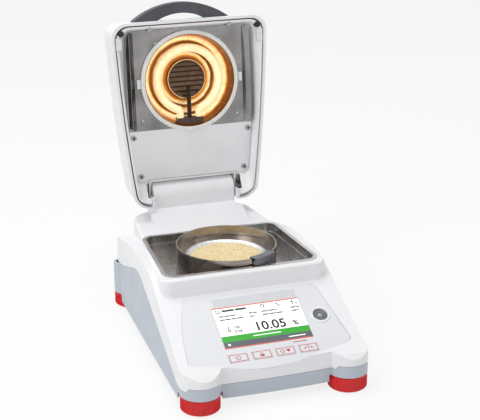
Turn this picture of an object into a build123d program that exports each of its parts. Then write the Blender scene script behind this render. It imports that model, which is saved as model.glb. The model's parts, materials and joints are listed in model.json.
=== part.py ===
from build123d import *
import math
import os

# Halogen moisture analyzer, millimetres. X is to the right, Y to the back, Z up.
# The origin is on the table, under the middle of the instrument with its lid open.

# Overall sizes of the base
BODY_FRONT_Y = -172.5
BODY_REAR_Y = 137.5
FRONT_HALF = 99.5
TAPER_DEG = 1.8
REAR_CORNER_R = 30.0
FLOOR_Z = 10.0
DECK_Z = 102.7
BLOCK_H = 140.0
BLOCK_W = 150.0
WALL = 2.6
PARTING_GAP = 0.4
FASCIA_BULGE = 2.0
CREASE_R = 20.0

# Levelling feet and the round columns above them
FOOT_SETBACK = 4.9
FOOT_FRONT_Y = BODY_FRONT_Y + FOOT_SETBACK
FOOT_REAR_Y = 111.2
FOOT_REAR_X = 74.7
FOOT_R = 20.2
COLUMN_R = 20.5
COLUMN_Z = 17.5
POCKET_GAP = 2.0
FOOT_X = FRONT_HALF - COLUMN_R
PAD_R = 11.0
PAD_H = 4.0
PAD_GAP = 0.3
STUD_R = 4.0
STUD_TOP_Z = 36.0
INSERT_R = 6.5
THREAD_CLEARANCE = 0.06

# Console: a plane tilted towards the user, through the middle of the display
TILT_DEG = 26.45
DISPLAY_X = 1.5
CONSOLE_Y = -123.7
CONSOLE_Z = 62.66
PANEL_T = 3.0
PANEL_PROUD = 1.2
DISPLAY_W = 95.04
DISPLAY_H = 53.86
GLASS_T = 1.5
FIT = 0.15
KEY_W = 20.0
KEY_H = 10.0
KEY_PITCH = 25.0
KEY_ROW_Y = -39.75
KEY_GAP = 0.3
LEVEL_X = 64.0
LEVEL_R = 8.0
LEVEL_RING_R = 10.7

# Raised deck with the heating chamber
DECK_ROOT_Z = 60.0
DECK_FRONT_Y = -80.0
DECK_REAR_Y = 132.0
DECK_HALF = 90.5
DECK_HALF_Y = -61.0
DECK_TAPER = 0.117
DECK_EDGE_R = 3.0
WELL_FRONT_Y = -70.3
WELL_REAR_Y = 49.4
WELL_HALF_FRONT = 83.6
WELL_HALF_REAR = 75.7
WELL_CORNER_R = 11.0
LINER_T = 0.8
LINER_LIP = 3.0
LEDGE_Z = 93.0
LEDGE_W = 1.2
CHAMBER_FLOOR_Z = 80.0

# Pan, dish and handler
PAN_Y = -13.0
DISH_R = 45.0
DISH_WALL_R = 43.0
DISH_T = 0.5
DISH_RIM_Z = 97.8
DISH_FLOOR_Z = 90.9
SAMPLE_H = 5.2
HANDLER_R = 54.5
HANDLER_T = 1.2
HANDLER_TOP_Z = 110.4
SHELF_Z = 95.6
PIN_R = 4.0
PIN_DEPTH = 12.0
SUPPORT_Z = 87.6
SUPPORT_T = 3.2
GRIP_ANGLE = -62.0

# Hinge and lid, whose own pieces are drawn in the closed lid's coordinates
HINGE_Y = 116.9
HINGE_Z = 129.0
LID_OPEN_DEG = 96.0
KNUCKLE_R = 15.5
KNUCKLE_HALF = 48.6
KNUCKLE_EDGE_R = 2.5
NOTCH_GAP = 1.2
SHAFT_R = 4.0
SHAFT_CLEARANCE = 0.05
LID_RIM_Z = 104.3
LID_FRONT_Y = -82.5
LID_REAR_Y = 129.0
LID_HALF_FRONT = 90.2
LID_HALF_MID = 85.3
LID_MID_Y = 7.5
LID_HALF_REAR = 72.0
LID_FRONT_R = 16.0
LID_REAR_R = 20.0
LID_TOP_Z = 180.0
LID_DRAFT_DEG = 5.0
LID_CROWN_R = 24.0
LID_WALL = 2.4
LINER_PLATE_Z = 116.5
FRAME_T = 2.2
LEDGE_PLATE_Z = 117.7
COVER_Z = 116.3
COVER_T = 1.2
COVER_FRONT_Y = 40.5
COVER_REAR_Y = 98.5
REFLECTOR_R = 52.4
REFLECTOR_RING_R = 57.0
REFLECTOR_LIP_Z = 112.0
LAMP_R = 36.0
LAMP_TUBE_R = 4.6
LAMP_Z = 121.0
GRILLE_R = 21.7
GRILLE_Z = 128.0
HANDLE_Z = 139.0
HANDLE_T = 12.0

TILT = math.radians(TILT_DEG)
OPENED = math.radians(LID_OPEN_DEG)
TAPER = math.radians(TAPER_DEG)
SHAFT_LONG = 2 * 60.0
FRONT_FEET = [(-FOOT_X, FOOT_FRONT_Y), (FOOT_X, FOOT_FRONT_Y)]
REAR_FEET = [(-FOOT_REAR_X, FOOT_REAR_Y), (FOOT_REAR_X, FOOT_REAR_Y)]

# Ramp, console windows, rear wall and chassis
RAMP_FOOT_Y = 68.0
RAMP_TOP_Z = 116.0
FLARE_REAR_Y = 94.5
FLARE = 6.0
WINDOW_W = DISPLAY_W + 11
WINDOW_H = DISPLAY_H + 9
KEY_XS = [(i - 1.5) * KEY_PITCH for i in range(4)]
INLET_X, INLET_Z = 52.0, 36.0
PORT_XS = [-61.0, -36.0]
PORT_SIZES = [(20, 12), (12, 11)]
PORT_Z = 32.0
INLET_W, INLET_H = 27.0, 20.0
VENTS, VENT_PITCH, VENT_Z = 7, 6.5, 30.0
CHASSIS_SCREW_R = 1.55
CHASSIS_HEAD_R = 3.6
CHASSIS_SPOTS = [(-62, -112), (62, -112), (-56, 80), (60, 84)]
CELL_REAR_Y = 88.0
CELL_Z = 31.0
CELL_H = 22.0
CELL_W = 26.0
CELL_SCREW_R = 2.5
CELL_HEAD_R = 4.4
CELL_HEAD_H = 5.0
CELL_SCREW_YS = [CELL_REAR_Y - 10, CELL_REAR_Y - 26]
POST_SPOTS = [(-56, -148), (56, -148), (-66, -92), (66, -92)]
POWER_SPOTS = [(30, 5), (78, 5), (30, 72), (78, 72)]
CHASSIS_Z = FLOOR_Z + WALL
CHASSIS_T = 4.0
BOARD_T = 1.6
BOARD_SCREW_R = 1.25
BOARD_HEAD_R = 2.8
BOARD_Z = 24.0

# Small pieces of the lid, at places in the closed lid's own XY
BUMPERS = [(-79.2, -71.6), (79.2, -71.6)]
CLIPS = [(-82.0, -60.0), (82.0, -60.0)]
FRAME_SCREWS = [(-46.0, -74.0), (46.0, -74.0)]
COVER_SCREWS = [(-68.0, 47.8), (68.0, 47.8), (-61.6, 92.7), (61.6, 92.7)]
FRAME_GAP = 0.5
BUMPER_R = 3.4
CLIP_W, CLIP_L = 6.6, 13.6
FRAME_SCREW_R = 2.5
COVER_SCREW_R = 1.6
COVER_HEAD_R = 3.2
COVER_HEAD_H = 1.6

# Heater and hinge details
CHANNEL_Z = 128.0
CHANNEL_TOP_Z = 134.0
SHEET = 0.8
HOLDER_R = 43.0
LAMP_GAP_DEG = 18.0
LAMP_LEG_X = 11.0
LAMP_LEG_R = LAMP_TUBE_R - 0.6
LAMP_LEG_Y = 33.5
SENSOR_R = 2.5
SENSOR_TIP_Y = 8.0
SLAT_PITCH = 5.6
BRACKET_X = 42.0
BRACKET_T = 3.0
BRACKET_W = 20.0
ARM_X = 54.7
ARM_T = 2.4
ARM_R = 6.5


os.makedirs("parts", exist_ok=True)


def save(name, part):
    """Label a finished piece and write it to its own file."""
    part.label = name
    export_step(part, f"parts/{name}.step")


def console_plane(height=0.0):
    """The console's own plane, at a height above the panel's face."""
    up = (0, -math.sin(TILT), math.cos(TILT))
    origin = (DISPLAY_X, CONSOLE_Y + height * up[1], CONSOLE_Z + height * up[2])
    return Plane(origin=origin, x_dir=(1, 0, 0), z_dir=up)


def console_line(y, drop=0.0):
    """Height of the console's plane at a place along Y, less a drop square to it."""
    return CONSOLE_Z + (y - CONSOLE_Y) * math.tan(TILT) - drop / math.cos(TILT)


def opened(y, z):
    """Where a point of the closed lid is once the lid is open."""
    dy, dz = y - HINGE_Y, z - HINGE_Z
    c, s = math.cos(OPENED), math.sin(OPENED)
    return HINGE_Y + dy * c + dz * s, HINGE_Z - dy * s + dz * c


def lid_plane(z):
    """A level plane of the closed lid, turned open with it."""
    y1, z1 = opened(0, z)
    return Plane(origin=(0, y1, z1), x_dir=(1, 0, 0),
                 z_dir=(0, math.sin(OPENED), math.cos(OPENED)))


def lid_side_plane(x=0.0):
    """The closed lid's YZ plane at x, turned open with it."""
    y1, z1 = opened(0, 0)
    return Plane(origin=(x, y1, z1), x_dir=(0, math.cos(OPENED), -math.sin(OPENED)),
                 z_dir=(1, 0, 0))


# Base outline: a fascia between two round columns, and sides that taper to the back
def body_outline(inset=0.0, rear_columns=False):
    chord = FOOT_FRONT_Y - BODY_FRONT_Y
    inner_x = FOOT_X - math.sqrt(COLUMN_R**2 - chord**2)
    side_x = FOOT_X + COLUMN_R * math.cos(TAPER)
    side_y = FOOT_FRONT_Y + COLUMN_R * math.sin(TAPER)
    rear_x = side_x - (BODY_REAR_Y - side_y) * math.tan(TAPER)
    front = (FOOT_X + COLUMN_R * 0.342, FOOT_FRONT_Y - COLUMN_R * 0.9397)
    with BuildSketch() as outline:
        with BuildLine():
            ThreePointArc((-inner_x, BODY_FRONT_Y), (0, BODY_FRONT_Y - FASCIA_BULGE),
                          (inner_x, BODY_FRONT_Y))
            ThreePointArc((inner_x, BODY_FRONT_Y), front, (side_x, side_y))
            Polyline((side_x, side_y), (rear_x, BODY_REAR_Y), (-rear_x, BODY_REAR_Y),
                     (-side_x, side_y))
            ThreePointArc((-side_x, side_y), (-front[0], front[1]),
                          (-inner_x, BODY_FRONT_Y))
        make_face()
        fillet(outline.vertices().group_by(Axis.Y)[-1], REAR_CORNER_R)
        if rear_columns:
            with Locations(*REAR_FEET):
                Circle(COLUMN_R)
        if inset:
            offset(amount=-inset)
    return outline.sketch


def top_profile(drop=0.0, bottom=0.0):
    """Side view under the columns' tops, the console and the hump beside the deck."""
    seat = PANEL_T if drop else 0.0
    with BuildSketch() as profile:
        with BuildLine():
            Polyline((-210, bottom), (-210, 38.5 - drop), (-188, 38.5 - drop),
                     (-182, 42.5 - drop), (-160, 45.0 - drop - seat),
                     (-75, console_line(-75) - PANEL_PROUD - drop - seat), (-48, 98.0 - drop))
            ThreePointArc((-48, 98.0 - drop), (0, 101.0 - drop), (48, 97.5 - drop))
            Polyline((48, 97.5 - drop), (105, 85.0 - drop), (150, 68.0 - drop),
                     (150, bottom), (-210, bottom))
        make_face()
    return profile.sketch


def parting_profile(shift=0.0):
    """Side view of everything under the line where the two housings meet."""
    with BuildSketch() as profile:
        with BuildLine():
            Polyline((-210, -20), (-210, 31.5 + shift), (-181, 30.0 + shift),
                     (-177.5, 25.5 + shift), (-155.5, 24.0 + shift), (-8, 77.8 + shift))
            ThreePointArc((-8, 77.8 + shift), (7, 80.0 + shift), (24, 78.0 + shift))
            Polyline((24, 78.0 + shift), (81.5, 59.0 + shift), (150, 46.0 + shift),
                     (150, -20), (-210, -20))
        make_face()
    return profile.sketch


def deck_outline(inset=0.0):
    def half(y):
        return DECK_HALF - (y - DECK_HALF_Y) * DECK_TAPER
    with BuildSketch() as outline:
        Polygon((-half(DECK_FRONT_Y), DECK_FRONT_Y), (half(DECK_FRONT_Y), DECK_FRONT_Y),
                (half(DECK_REAR_Y), DECK_REAR_Y), (-half(DECK_REAR_Y), DECK_REAR_Y), align=None)
        fillet(outline.vertices().group_by(Axis.Y)[0], 12)
        fillet(outline.vertices().group_by(Axis.Y)[-1], 24)
        if inset:
            offset(amount=-inset)
    return outline.sketch


def well_outline(inset=0.0):
    with BuildSketch() as outline:
        Polygon((-WELL_HALF_FRONT, WELL_FRONT_Y), (WELL_HALF_FRONT, WELL_FRONT_Y),
                (WELL_HALF_REAR, WELL_REAR_Y), (-WELL_HALF_REAR, WELL_REAR_Y), align=None)
        fillet(outline.vertices(), WELL_CORNER_R)
        if inset:
            offset(amount=-inset)
    return outline.sketch


def panel_outline(inset=0.0):
    with BuildSketch() as outline:
        with BuildLine():
            Polyline((-72.0, 45.5), (71.5, 45.5), (86.5, -36.0))
            ThreePointArc((86.5, -36.0), (0.0, -57.0), (-90.0, -41.0))
            ThreePointArc((-90.0, -41.0), (-84.0, 5.8), (-72.0, 45.5))
        make_face()
        fillet(outline.vertices().group_by(Axis.Y)[-1], 4)
        fillet(outline.vertices().sort_by(Axis.X)[0], 5)
        fillet(outline.vertices().sort_by(Axis.X)[-1], 5)
        if inset:
            offset(amount=-inset)
    return outline.sketch


def tower_profile(inset=0.0):
    """Side view of the ramp and the knuckle that carries the hinge shaft."""
    r = KNUCKLE_R - inset
    with BuildSketch() as profile:
        with BuildLine():
            Polyline((HINGE_Y - r, HINGE_Z), (HINGE_Y - r, 90), (HINGE_Y + r, 90),
                     (HINGE_Y + r, HINGE_Z))
            ThreePointArc((HINGE_Y + r, HINGE_Z), (HINGE_Y, HINGE_Z + r), (HINGE_Y - r, HINGE_Z))
        make_face()
    return profile.sketch


def ramp_profile(inset=0.0):
    with BuildSketch() as profile:
        Polygon((RAMP_FOOT_Y + 2 * inset, 90), (RAMP_FOOT_Y + 2 * inset, DECK_Z - inset),
                (HINGE_Y - KNUCKLE_R + inset, RAMP_TOP_Z - inset),
                (HINGE_Y - KNUCKLE_R + inset, 90), align=None)
    return profile.sketch


def flare_profile(inset=0.0):
    """The ramp's wider foot, which ends in front of the lid's ears."""
    slope = (RAMP_TOP_Z - DECK_Z) / (HINGE_Y - KNUCKLE_R - RAMP_FOOT_Y)
    with BuildSketch() as profile:
        Polygon((RAMP_FOOT_Y + 2 * inset, 90), (RAMP_FOOT_Y + 2 * inset, DECK_Z - inset),
                (FLARE_REAR_Y - inset, DECK_Z - inset + (FLARE_REAR_Y - RAMP_FOOT_Y) * slope),
                (FLARE_REAR_Y - inset, 90), align=None)
    return profile.sketch


# Upper housing: console wedge, deck with the well, ramp and hinge knuckle, all one moulding
def wedge_block(inset=0.0, bottom=20.0):
    with BuildPart() as block:
        with BuildSketch(Plane.XY):
            add(body_outline(inset))
        extrude(amount=BLOCK_H)
        with BuildSketch(Plane.YZ):
            add(top_profile(inset, bottom))
        extrude(amount=BLOCK_W, both=True, mode=Mode.INTERSECT)
        if not inset:
            # the four level bends of the top, from the console to the back
            bends = block.edges().filter_by(Axis.X).filter_by(lambda e: e.center().Z > 80)
            fillet(bends, CREASE_R)
    return block.part


def deck_block(inset=0.0):
    with BuildPart() as deck:
        with BuildSketch(Plane.XY.offset(DECK_ROOT_Z)):
            add(deck_outline(inset))
        extrude(amount=DECK_Z - inset - DECK_ROOT_Z)
        if not inset:
            fillet(deck.faces().sort_by(Axis.Z)[-1].edges(), DECK_EDGE_R)
    return deck.part


def tower_block(inset=0.0):
    """The ramp and the knuckle, with rounded edges along both cheeks."""
    with BuildPart() as tower:
        with BuildSketch(Plane.YZ):
            add(ramp_profile(inset))
            add(tower_profile(inset))
        extrude(amount=KNUCKLE_HALF - inset, both=True)
        if not inset:
            cheeks = tower.faces().filter_by(Axis.X)
            rims = cheeks[0].edges() + cheeks[1].edges()
            ahead = rims.filter_by(lambda e: e.center().Y < HINGE_Y + KNUCKLE_R - 1)
            fillet(ahead.filter_by(lambda e: e.center().Z > 95), KNUCKLE_EDGE_R)
    return tower.part


def upper_block(inset=0.0, bottom=20.0):
    with BuildPart() as block:
        add(wedge_block(inset, bottom))
        add(deck_block(inset))
        add(tower_block(inset))
        with BuildSketch(Plane.YZ):
            add(flare_profile(inset))
        extrude(amount=KNUCKLE_HALF + FLARE - inset, both=True)
    return block.part


with BuildPart() as upper_housing:
    add(upper_block())
    with BuildSketch(Plane.YZ):
        add(parting_profile(PARTING_GAP))
    extrude(amount=150, both=True, mode=Mode.SUBTRACT)
    add(upper_block(WALL, 0.0), mode=Mode.SUBTRACT)
    # seat for the console panel, and the windows under it
    with BuildSketch(console_plane(-PANEL_T)):
        add(panel_outline(-FIT))
    extrude(amount=40, mode=Mode.SUBTRACT)
    with BuildSketch(console_plane(-PANEL_T)):
        Rectangle(WINDOW_W, WINDOW_H)
        with Locations((0, KEY_ROW_Y)):
            RectangleRounded(3 * KEY_PITCH + KEY_W + 6, KEY_H + 1, 3)
        with Locations((LEVEL_X, 0)):
            Circle(LEVEL_R + 0.6)
    extrude(amount=12, both=True, mode=Mode.SUBTRACT)
    # opening for the chamber liner
    with BuildSketch(Plane.XY.offset(DECK_Z - 12)):
        add(well_outline(-FIT))
    extrude(amount=30, mode=Mode.SUBTRACT)
    # hinge shaft holes through the knuckle's cheeks
    with BuildSketch(Plane.YZ):
        with Locations((HINGE_Y, HINGE_Z)):
            Circle(SHAFT_R + SHAFT_CLEARANCE)
    extrude(amount=100, both=True, mode=Mode.SUBTRACT)
save("upper_housing", upper_housing.part)


# Lower housing: a tray with a raised wall at each side and a pocket over each foot
def lower_block(inset=0.0, floor=FLOOR_Z):
    with BuildPart() as block:
        with BuildSketch(Plane.XY.offset(floor)):
            add(body_outline(inset, rear_columns=True))
        extrude(amount=BLOCK_H)
        with BuildSketch(Plane.YZ):
            add(parting_profile(0 if not inset else 60))
        extrude(amount=BLOCK_W, both=True, mode=Mode.INTERSECT)
    return block.part


def lower_inside():
    """The room in the lower housing, less the walls over the feet and their inserts."""
    with BuildPart() as room:
        add(lower_block(WALL, FLOOR_Z + WALL))
        with BuildSketch(Plane.XY.offset(FLOOR_Z)):
            with Locations(*FRONT_FEET, *REAR_FEET):
                Circle(COLUMN_R + POCKET_GAP + WALL)
        extrude(amount=COLUMN_Z + WALL - FLOOR_Z, mode=Mode.SUBTRACT)
        with BuildSketch(Plane.XY.offset(FLOOR_Z)):
            with Locations(*FRONT_FEET, *REAR_FEET):
                Circle(INSERT_R + 2)
        extrude(amount=STUD_TOP_Z - FLOOR_Z - 4, mode=Mode.SUBTRACT)
    return room.part


with BuildPart() as lower_housing:
    add(lower_block())
    add(lower_inside(), mode=Mode.SUBTRACT)
    with BuildSketch(Plane.XY.offset(FLOOR_Z)):
        with Locations(*FRONT_FEET, *REAR_FEET):
            Circle(COLUMN_R + POCKET_GAP)
    extrude(amount=COLUMN_Z - FLOOR_Z, mode=Mode.SUBTRACT)
    # bores for the foot inserts
    with BuildSketch(Plane.XY.offset(FLOOR_Z)):
        with Locations(*FRONT_FEET, *REAR_FEET):
            Circle(INSERT_R)
    extrude(amount=STUD_TOP_Z + 14 - FLOOR_Z, mode=Mode.SUBTRACT)
    # rear wall: mains inlet, data sockets and cooling slots
    with BuildSketch(Plane.XZ.offset(-BODY_REAR_Y - 1)):
        with Locations((INLET_X, INLET_Z)):
            Rectangle(INLET_W + 2 * FIT, INLET_H + 2 * FIT)
        for x, size in zip(PORT_XS, PORT_SIZES):
            with Locations((x, PORT_Z)):
                Rectangle(size[0] + 2 * FIT, size[1] + 2 * FIT)
        with GridLocations(VENT_PITCH, 0, VENTS, 1):
            with Locations((0, VENT_Z)):
                SlotOverall(16, 3, rotation=90)
    extrude(amount=10, mode=Mode.SUBTRACT)
    with BuildSketch(Plane.XY.offset(FLOOR_Z)):
        with Locations(*CHASSIS_SPOTS):
            Circle(CHASSIS_SCREW_R + 0.55)
    extrude(amount=WALL, mode=Mode.SUBTRACT)
save("lower_housing", lower_housing.part)


# Chassis: a die-cast plate with posts for the boards and a block for the load cell
with BuildPart() as chassis:
    with BuildSketch(Plane.XY.offset(CHASSIS_Z)):
        Polygon((-74, -152), (74, -152), (84, -90), (84, 98), (-70, 98), (-84, -90), align=None)
        with Locations((0, 20)):
            Rectangle(80, 60, mode=Mode.SUBTRACT)
        with Locations(*FRONT_FEET, *REAR_FEET):
            Circle(COLUMN_R + POCKET_GAP + WALL + 1.2, mode=Mode.SUBTRACT)
        with Locations((46, 55)):
            RectangleRounded(24, 40, 4, mode=Mode.SUBTRACT)
    extrude(amount=CHASSIS_T)
    with BuildSketch(Plane.XY.offset(CHASSIS_Z)):
        Rectangle(CELL_W + 14, 170)
        with Locations((0, 20)):
            Rectangle(CELL_W - 4, 60, mode=Mode.SUBTRACT)
    extrude(amount=CHASSIS_T + 2)
    with BuildSketch(Plane.XY.offset(CHASSIS_Z)):
        with Locations((0, CELL_REAR_Y - 18)):
            Rectangle(CELL_W + 6, 34)
    extrude(amount=CELL_Z - CHASSIS_Z)
    with BuildSketch(Plane.XY.offset(CHASSIS_Z)):
        with Locations(*POST_SPOTS, *POWER_SPOTS):
            Circle(3.5)
    extrude(amount=BOARD_Z - CHASSIS_Z)
    with Locations(*[(x, y, BOARD_Z) for x, y in POST_SPOTS + POWER_SPOTS]):
        Hole(BOARD_SCREW_R, depth=7)
    with Locations(*[(x, y, CHASSIS_Z + CHASSIS_T) for x, y in CHASSIS_SPOTS]):
        Hole(CHASSIS_SCREW_R + 0.05)
save("chassis", chassis.part)

# Load cell: one block of aluminium, thinned at four places by a dog-bone window
with BuildPart() as load_cell:
    with BuildSketch(Plane.YZ.offset(-CELL_W / 2)):
        with Locations(((CELL_REAR_Y + PAN_Y - 14) / 2, CELL_Z + CELL_H / 2)):
            Rectangle(CELL_REAR_Y - PAN_Y + 14, CELL_H)
            Rectangle(44, 4, mode=Mode.SUBTRACT)
            with Locations((-22, 0), (22, 0)):
                Circle(8.6, mode=Mode.SUBTRACT)
    extrude(amount=CELL_W)
    with Locations(*[(0, y, CELL_Z + CELL_H) for y in CELL_SCREW_YS]):
        CounterBoreHole(CELL_SCREW_R + 0.1, CELL_HEAD_R + 0.4, CELL_HEAD_H)
    with Locations((0, PAN_Y, CELL_Z + CELL_H)):
        Hole(PIN_R, depth=PIN_DEPTH)
save("load_cell", load_cell.part)

with BuildPart() as load_cell_screws:
    for y in CELL_SCREW_YS:
        with BuildSketch(Plane.XY.offset(CELL_Z + CELL_H - CELL_HEAD_H)):
            with Locations((0, y)):
                Circle(CELL_HEAD_R)
                RegularPolygon(2.3, 6, mode=Mode.SUBTRACT)
        extrude(amount=CELL_HEAD_H - 0.4)
        with BuildSketch(Plane.XY.offset(CELL_Z)):
            with Locations((0, y)):
                Circle(CELL_SCREW_R)
        extrude(amount=CELL_H - CELL_HEAD_H)
save("load_cell_screws", load_cell_screws.part)

# Load pin: carries the pan support through the chamber floor
with BuildPart() as load_pin:
    with BuildSketch(Plane.XY.offset(CELL_Z + CELL_H - PIN_DEPTH)):
        with Locations((0, PAN_Y)):
            Circle(PIN_R)
    extrude(amount=SUPPORT_Z + SUPPORT_T - 0.6 - (CELL_Z + CELL_H - PIN_DEPTH))
    with BuildSketch(Plane.XY.offset(CELL_Z + CELL_H)):
        with Locations((0, PAN_Y)):
            Circle(PIN_R + 3)
    extrude(amount=4)
    chamfer(load_pin.faces().sort_by(Axis.Z)[-1].edges(), 0.8)
save("load_pin", load_pin.part)

with BuildPart() as pan_support:
    with BuildSketch(Plane.XY.offset(SUPPORT_Z)):
        with Locations((0, PAN_Y)):
            Circle(9)
            with PolarLocations(0, 3, start_angle=90):
                with Locations((15, 0)):
                    Rectangle(32, 7)
            Circle(33)
            Circle(27, mode=Mode.SUBTRACT)
            with PolarLocations(0, 3, start_angle=90):
                with Locations((17, 0)):
                    Rectangle(26, 7)
    extrude(amount=SUPPORT_T)
    with BuildSketch(Plane.XY.offset(SUPPORT_Z - 4)):
        with Locations((0, PAN_Y)):
            Circle(7.5)
    extrude(amount=4)
    with Locations((0, PAN_Y, SUPPORT_Z - 4)):
        Cylinder(PIN_R + SHAFT_CLEARANCE, 2 * (SUPPORT_T + 4 - 0.5), mode=Mode.SUBTRACT)
save("pan_support", pan_support.part)


# Circuit boards with their tall components
def board(name, size, centre, spots, chips):
    with BuildPart() as pcb:
        with BuildSketch(Plane.XY.offset(BOARD_Z)):
            with Locations(centre):
                RectangleRounded(*size, 2)
            with Locations(*spots):
                Circle(BOARD_SCREW_R + 0.35, mode=Mode.SUBTRACT)
        extrude(amount=BOARD_T)
        for x, y, w, d, h in chips:
            with BuildSketch(Plane.XY.offset(BOARD_Z + BOARD_T)):
                with Locations((x, y)):
                    Rectangle(w, d)
            extrude(amount=h)
    save(name, pcb.part)


board("main_board", (142, 66), (0, -120), POST_SPOTS,
      [(-40, -126, 16, 16, 2), (-10, -130, 24, 12, 2), (24, -126, 12, 12, 2),
       (-46, -104, 10, 18, 8), (36, -104, 30, 8, 5), (0, -104, 24, 10, 3), (54, -128, 10, 14, 4)])
board("power_board", (56, 76), (54, 38.5), POWER_SPOTS,
      [(46, 24, 24, 26, 22), (70, 24, 12, 16, 16), (42, 54, 14, 20, 14),
       (64, 54, 12, 12, 22), (72, 42, 8, 8, 12)])

with BuildPart() as board_screws:
    for x, y in POST_SPOTS + POWER_SPOTS:
        with BuildSketch(Plane.XY.offset(BOARD_Z - 6)):
            with Locations((x, y)):
                Circle(BOARD_SCREW_R)
        extrude(amount=6 + BOARD_T)
        with BuildSketch(Plane.XY.offset(BOARD_Z + BOARD_T)):
            with Locations((x, y)):
                Circle(BOARD_HEAD_R)
        extrude(amount=2)
save("board_screws", board_screws.part)

with BuildPart() as chassis_screws:
    for x, y in CHASSIS_SPOTS:
        with BuildSketch(Plane.XY.offset(FLOOR_Z - 1.6)):
            with Locations((x, y)):
                Circle(CHASSIS_HEAD_R)
        extrude(amount=1.6)
        with BuildSketch(Plane.XY.offset(FLOOR_Z)):
            with Locations((x, y)):
                Circle(CHASSIS_SCREW_R)
        extrude(amount=WALL + CHASSIS_T - 0.4)
save("chassis_screws", chassis_screws.part)

# Mains inlet with three pins, and the data sockets, both in the rear wall
with BuildPart() as power_inlet:
    rear = BODY_REAR_Y
    with BuildSketch(Plane.XZ.offset(-rear)):
        with Locations((INLET_X, INLET_Z)):
            RectangleRounded(INLET_W + 9, INLET_H + 5, 3)
    extrude(amount=-1.8)
    with BuildSketch(Plane.XZ.offset(-rear)):
        with Locations((INLET_X, INLET_Z)):
            Rectangle(INLET_W, INLET_H)
    extrude(amount=20)
    with BuildSketch(Plane.XZ.offset(-rear - 1.8)):
        with Locations((INLET_X, INLET_Z)):
            Rectangle(INLET_W - 5, INLET_H - 5)
    extrude(amount=17, mode=Mode.SUBTRACT)
    with BuildSketch(Plane.XZ.offset(-rear + 15.2)):
        with Locations((INLET_X, INLET_Z + 2), (INLET_X - 7, INLET_Z - 2), (INLET_X + 7, INLET_Z - 2)):
            Rectangle(2, 4)
    extrude(amount=-9)
save("power_inlet", power_inlet.part)

with BuildPart() as data_sockets:
    for x, size in zip(PORT_XS, PORT_SIZES):
        with BuildSketch(Plane.XZ.offset(-BODY_REAR_Y - 0.8)):
            with Locations((x, PORT_Z)):
                Rectangle(*size)
        extrude(amount=14)
        with BuildSketch(Plane.XZ.offset(-BODY_REAR_Y - 0.8)):
            with Locations((x, PORT_Z)):
                Rectangle(size[0] - 3, size[1] - 3)
                Rectangle(size[0] - 7, size[1] - 8, mode=Mode.SUBTRACT)
        extrude(amount=3.2, mode=Mode.SUBTRACT)
save("data_sockets", data_sockets.part)

# Console: moulded panel, display, keys and level
with BuildPart() as console_panel:
    with BuildSketch(console_plane(-PANEL_T)):
        add(panel_outline())
        Rectangle(DISPLAY_W + 2 * FIT, DISPLAY_H + 2 * FIT, mode=Mode.SUBTRACT)
        with GridLocations(KEY_PITCH, 0, 4, 1):
            with Locations((0, KEY_ROW_Y)):
                RectangleRounded(KEY_W + 2 * KEY_GAP, KEY_H + 2 * KEY_GAP, 1, mode=Mode.SUBTRACT)
        with Locations((LEVEL_X, 0)):
            Circle(LEVEL_R, mode=Mode.SUBTRACT)
    extrude(amount=PANEL_T)
    chamfer(console_panel.faces().sort_by(Axis(console_plane().origin, console_plane().z_dir))[-1]
            .outer_wire().edges(), 0.8)
save("console_panel", console_panel.part)

with BuildPart() as display_glass:
    with BuildSketch(console_plane(-GLASS_T)):
        Rectangle(DISPLAY_W, DISPLAY_H)
    extrude(amount=GLASS_T)
save("display_glass", display_glass.part)

with BuildPart() as display_module:
    with BuildSketch(console_plane(-GLASS_T - 0.1)):
        Rectangle(DISPLAY_W - 1, DISPLAY_H - 1)
    extrude(amount=-(PANEL_T - GLASS_T - 0.1))
    with BuildSketch(console_plane(-PANEL_T)):
        Rectangle(WINDOW_W - 1, WINDOW_H - 1)
    extrude(amount=-5)
save("display_module", display_module.part)

for index, x in enumerate(KEY_XS):
    with BuildPart() as key:
        with BuildSketch(console_plane(-PANEL_T + 0.6)):
            with Locations((x, KEY_ROW_Y)):
                RectangleRounded(KEY_W, KEY_H, 1)
        extrude(amount=PANEL_T - 0.6 + 0.3)
    save(f"key_{index + 1}", key.part)

with BuildPart() as key_board:
    with BuildSketch(console_plane(-PANEL_T - 0.2)):
        with Locations((0, KEY_ROW_Y)):
            Rectangle(3 * KEY_PITCH + KEY_W + 4, KEY_H - 1)
    extrude(amount=-1.6)
    with BuildSketch(console_plane(-PANEL_T - 0.2)):
        with GridLocations(KEY_PITCH, 0, 4, 1):
            with Locations((0, KEY_ROW_Y)):
                Circle(3)
    extrude(amount=0.25)
save("key_board", key_board.part)

with BuildPart() as level_vial:
    with BuildSketch(console_plane(-PANEL_T - 4)):
        with Locations((LEVEL_X, 0)):
            Circle(LEVEL_R - 0.3)
    extrude(amount=PANEL_T + 4 - 1.0)
save("level_vial", level_vial.part)

with BuildPart() as level_ring:
    with BuildSketch(console_plane()):
        with Locations((LEVEL_X, 0)):
            Circle(LEVEL_RING_R)
            Circle(LEVEL_R, mode=Mode.SUBTRACT)
    extrude(amount=0.6)
save("level_ring", level_ring.part)

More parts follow.
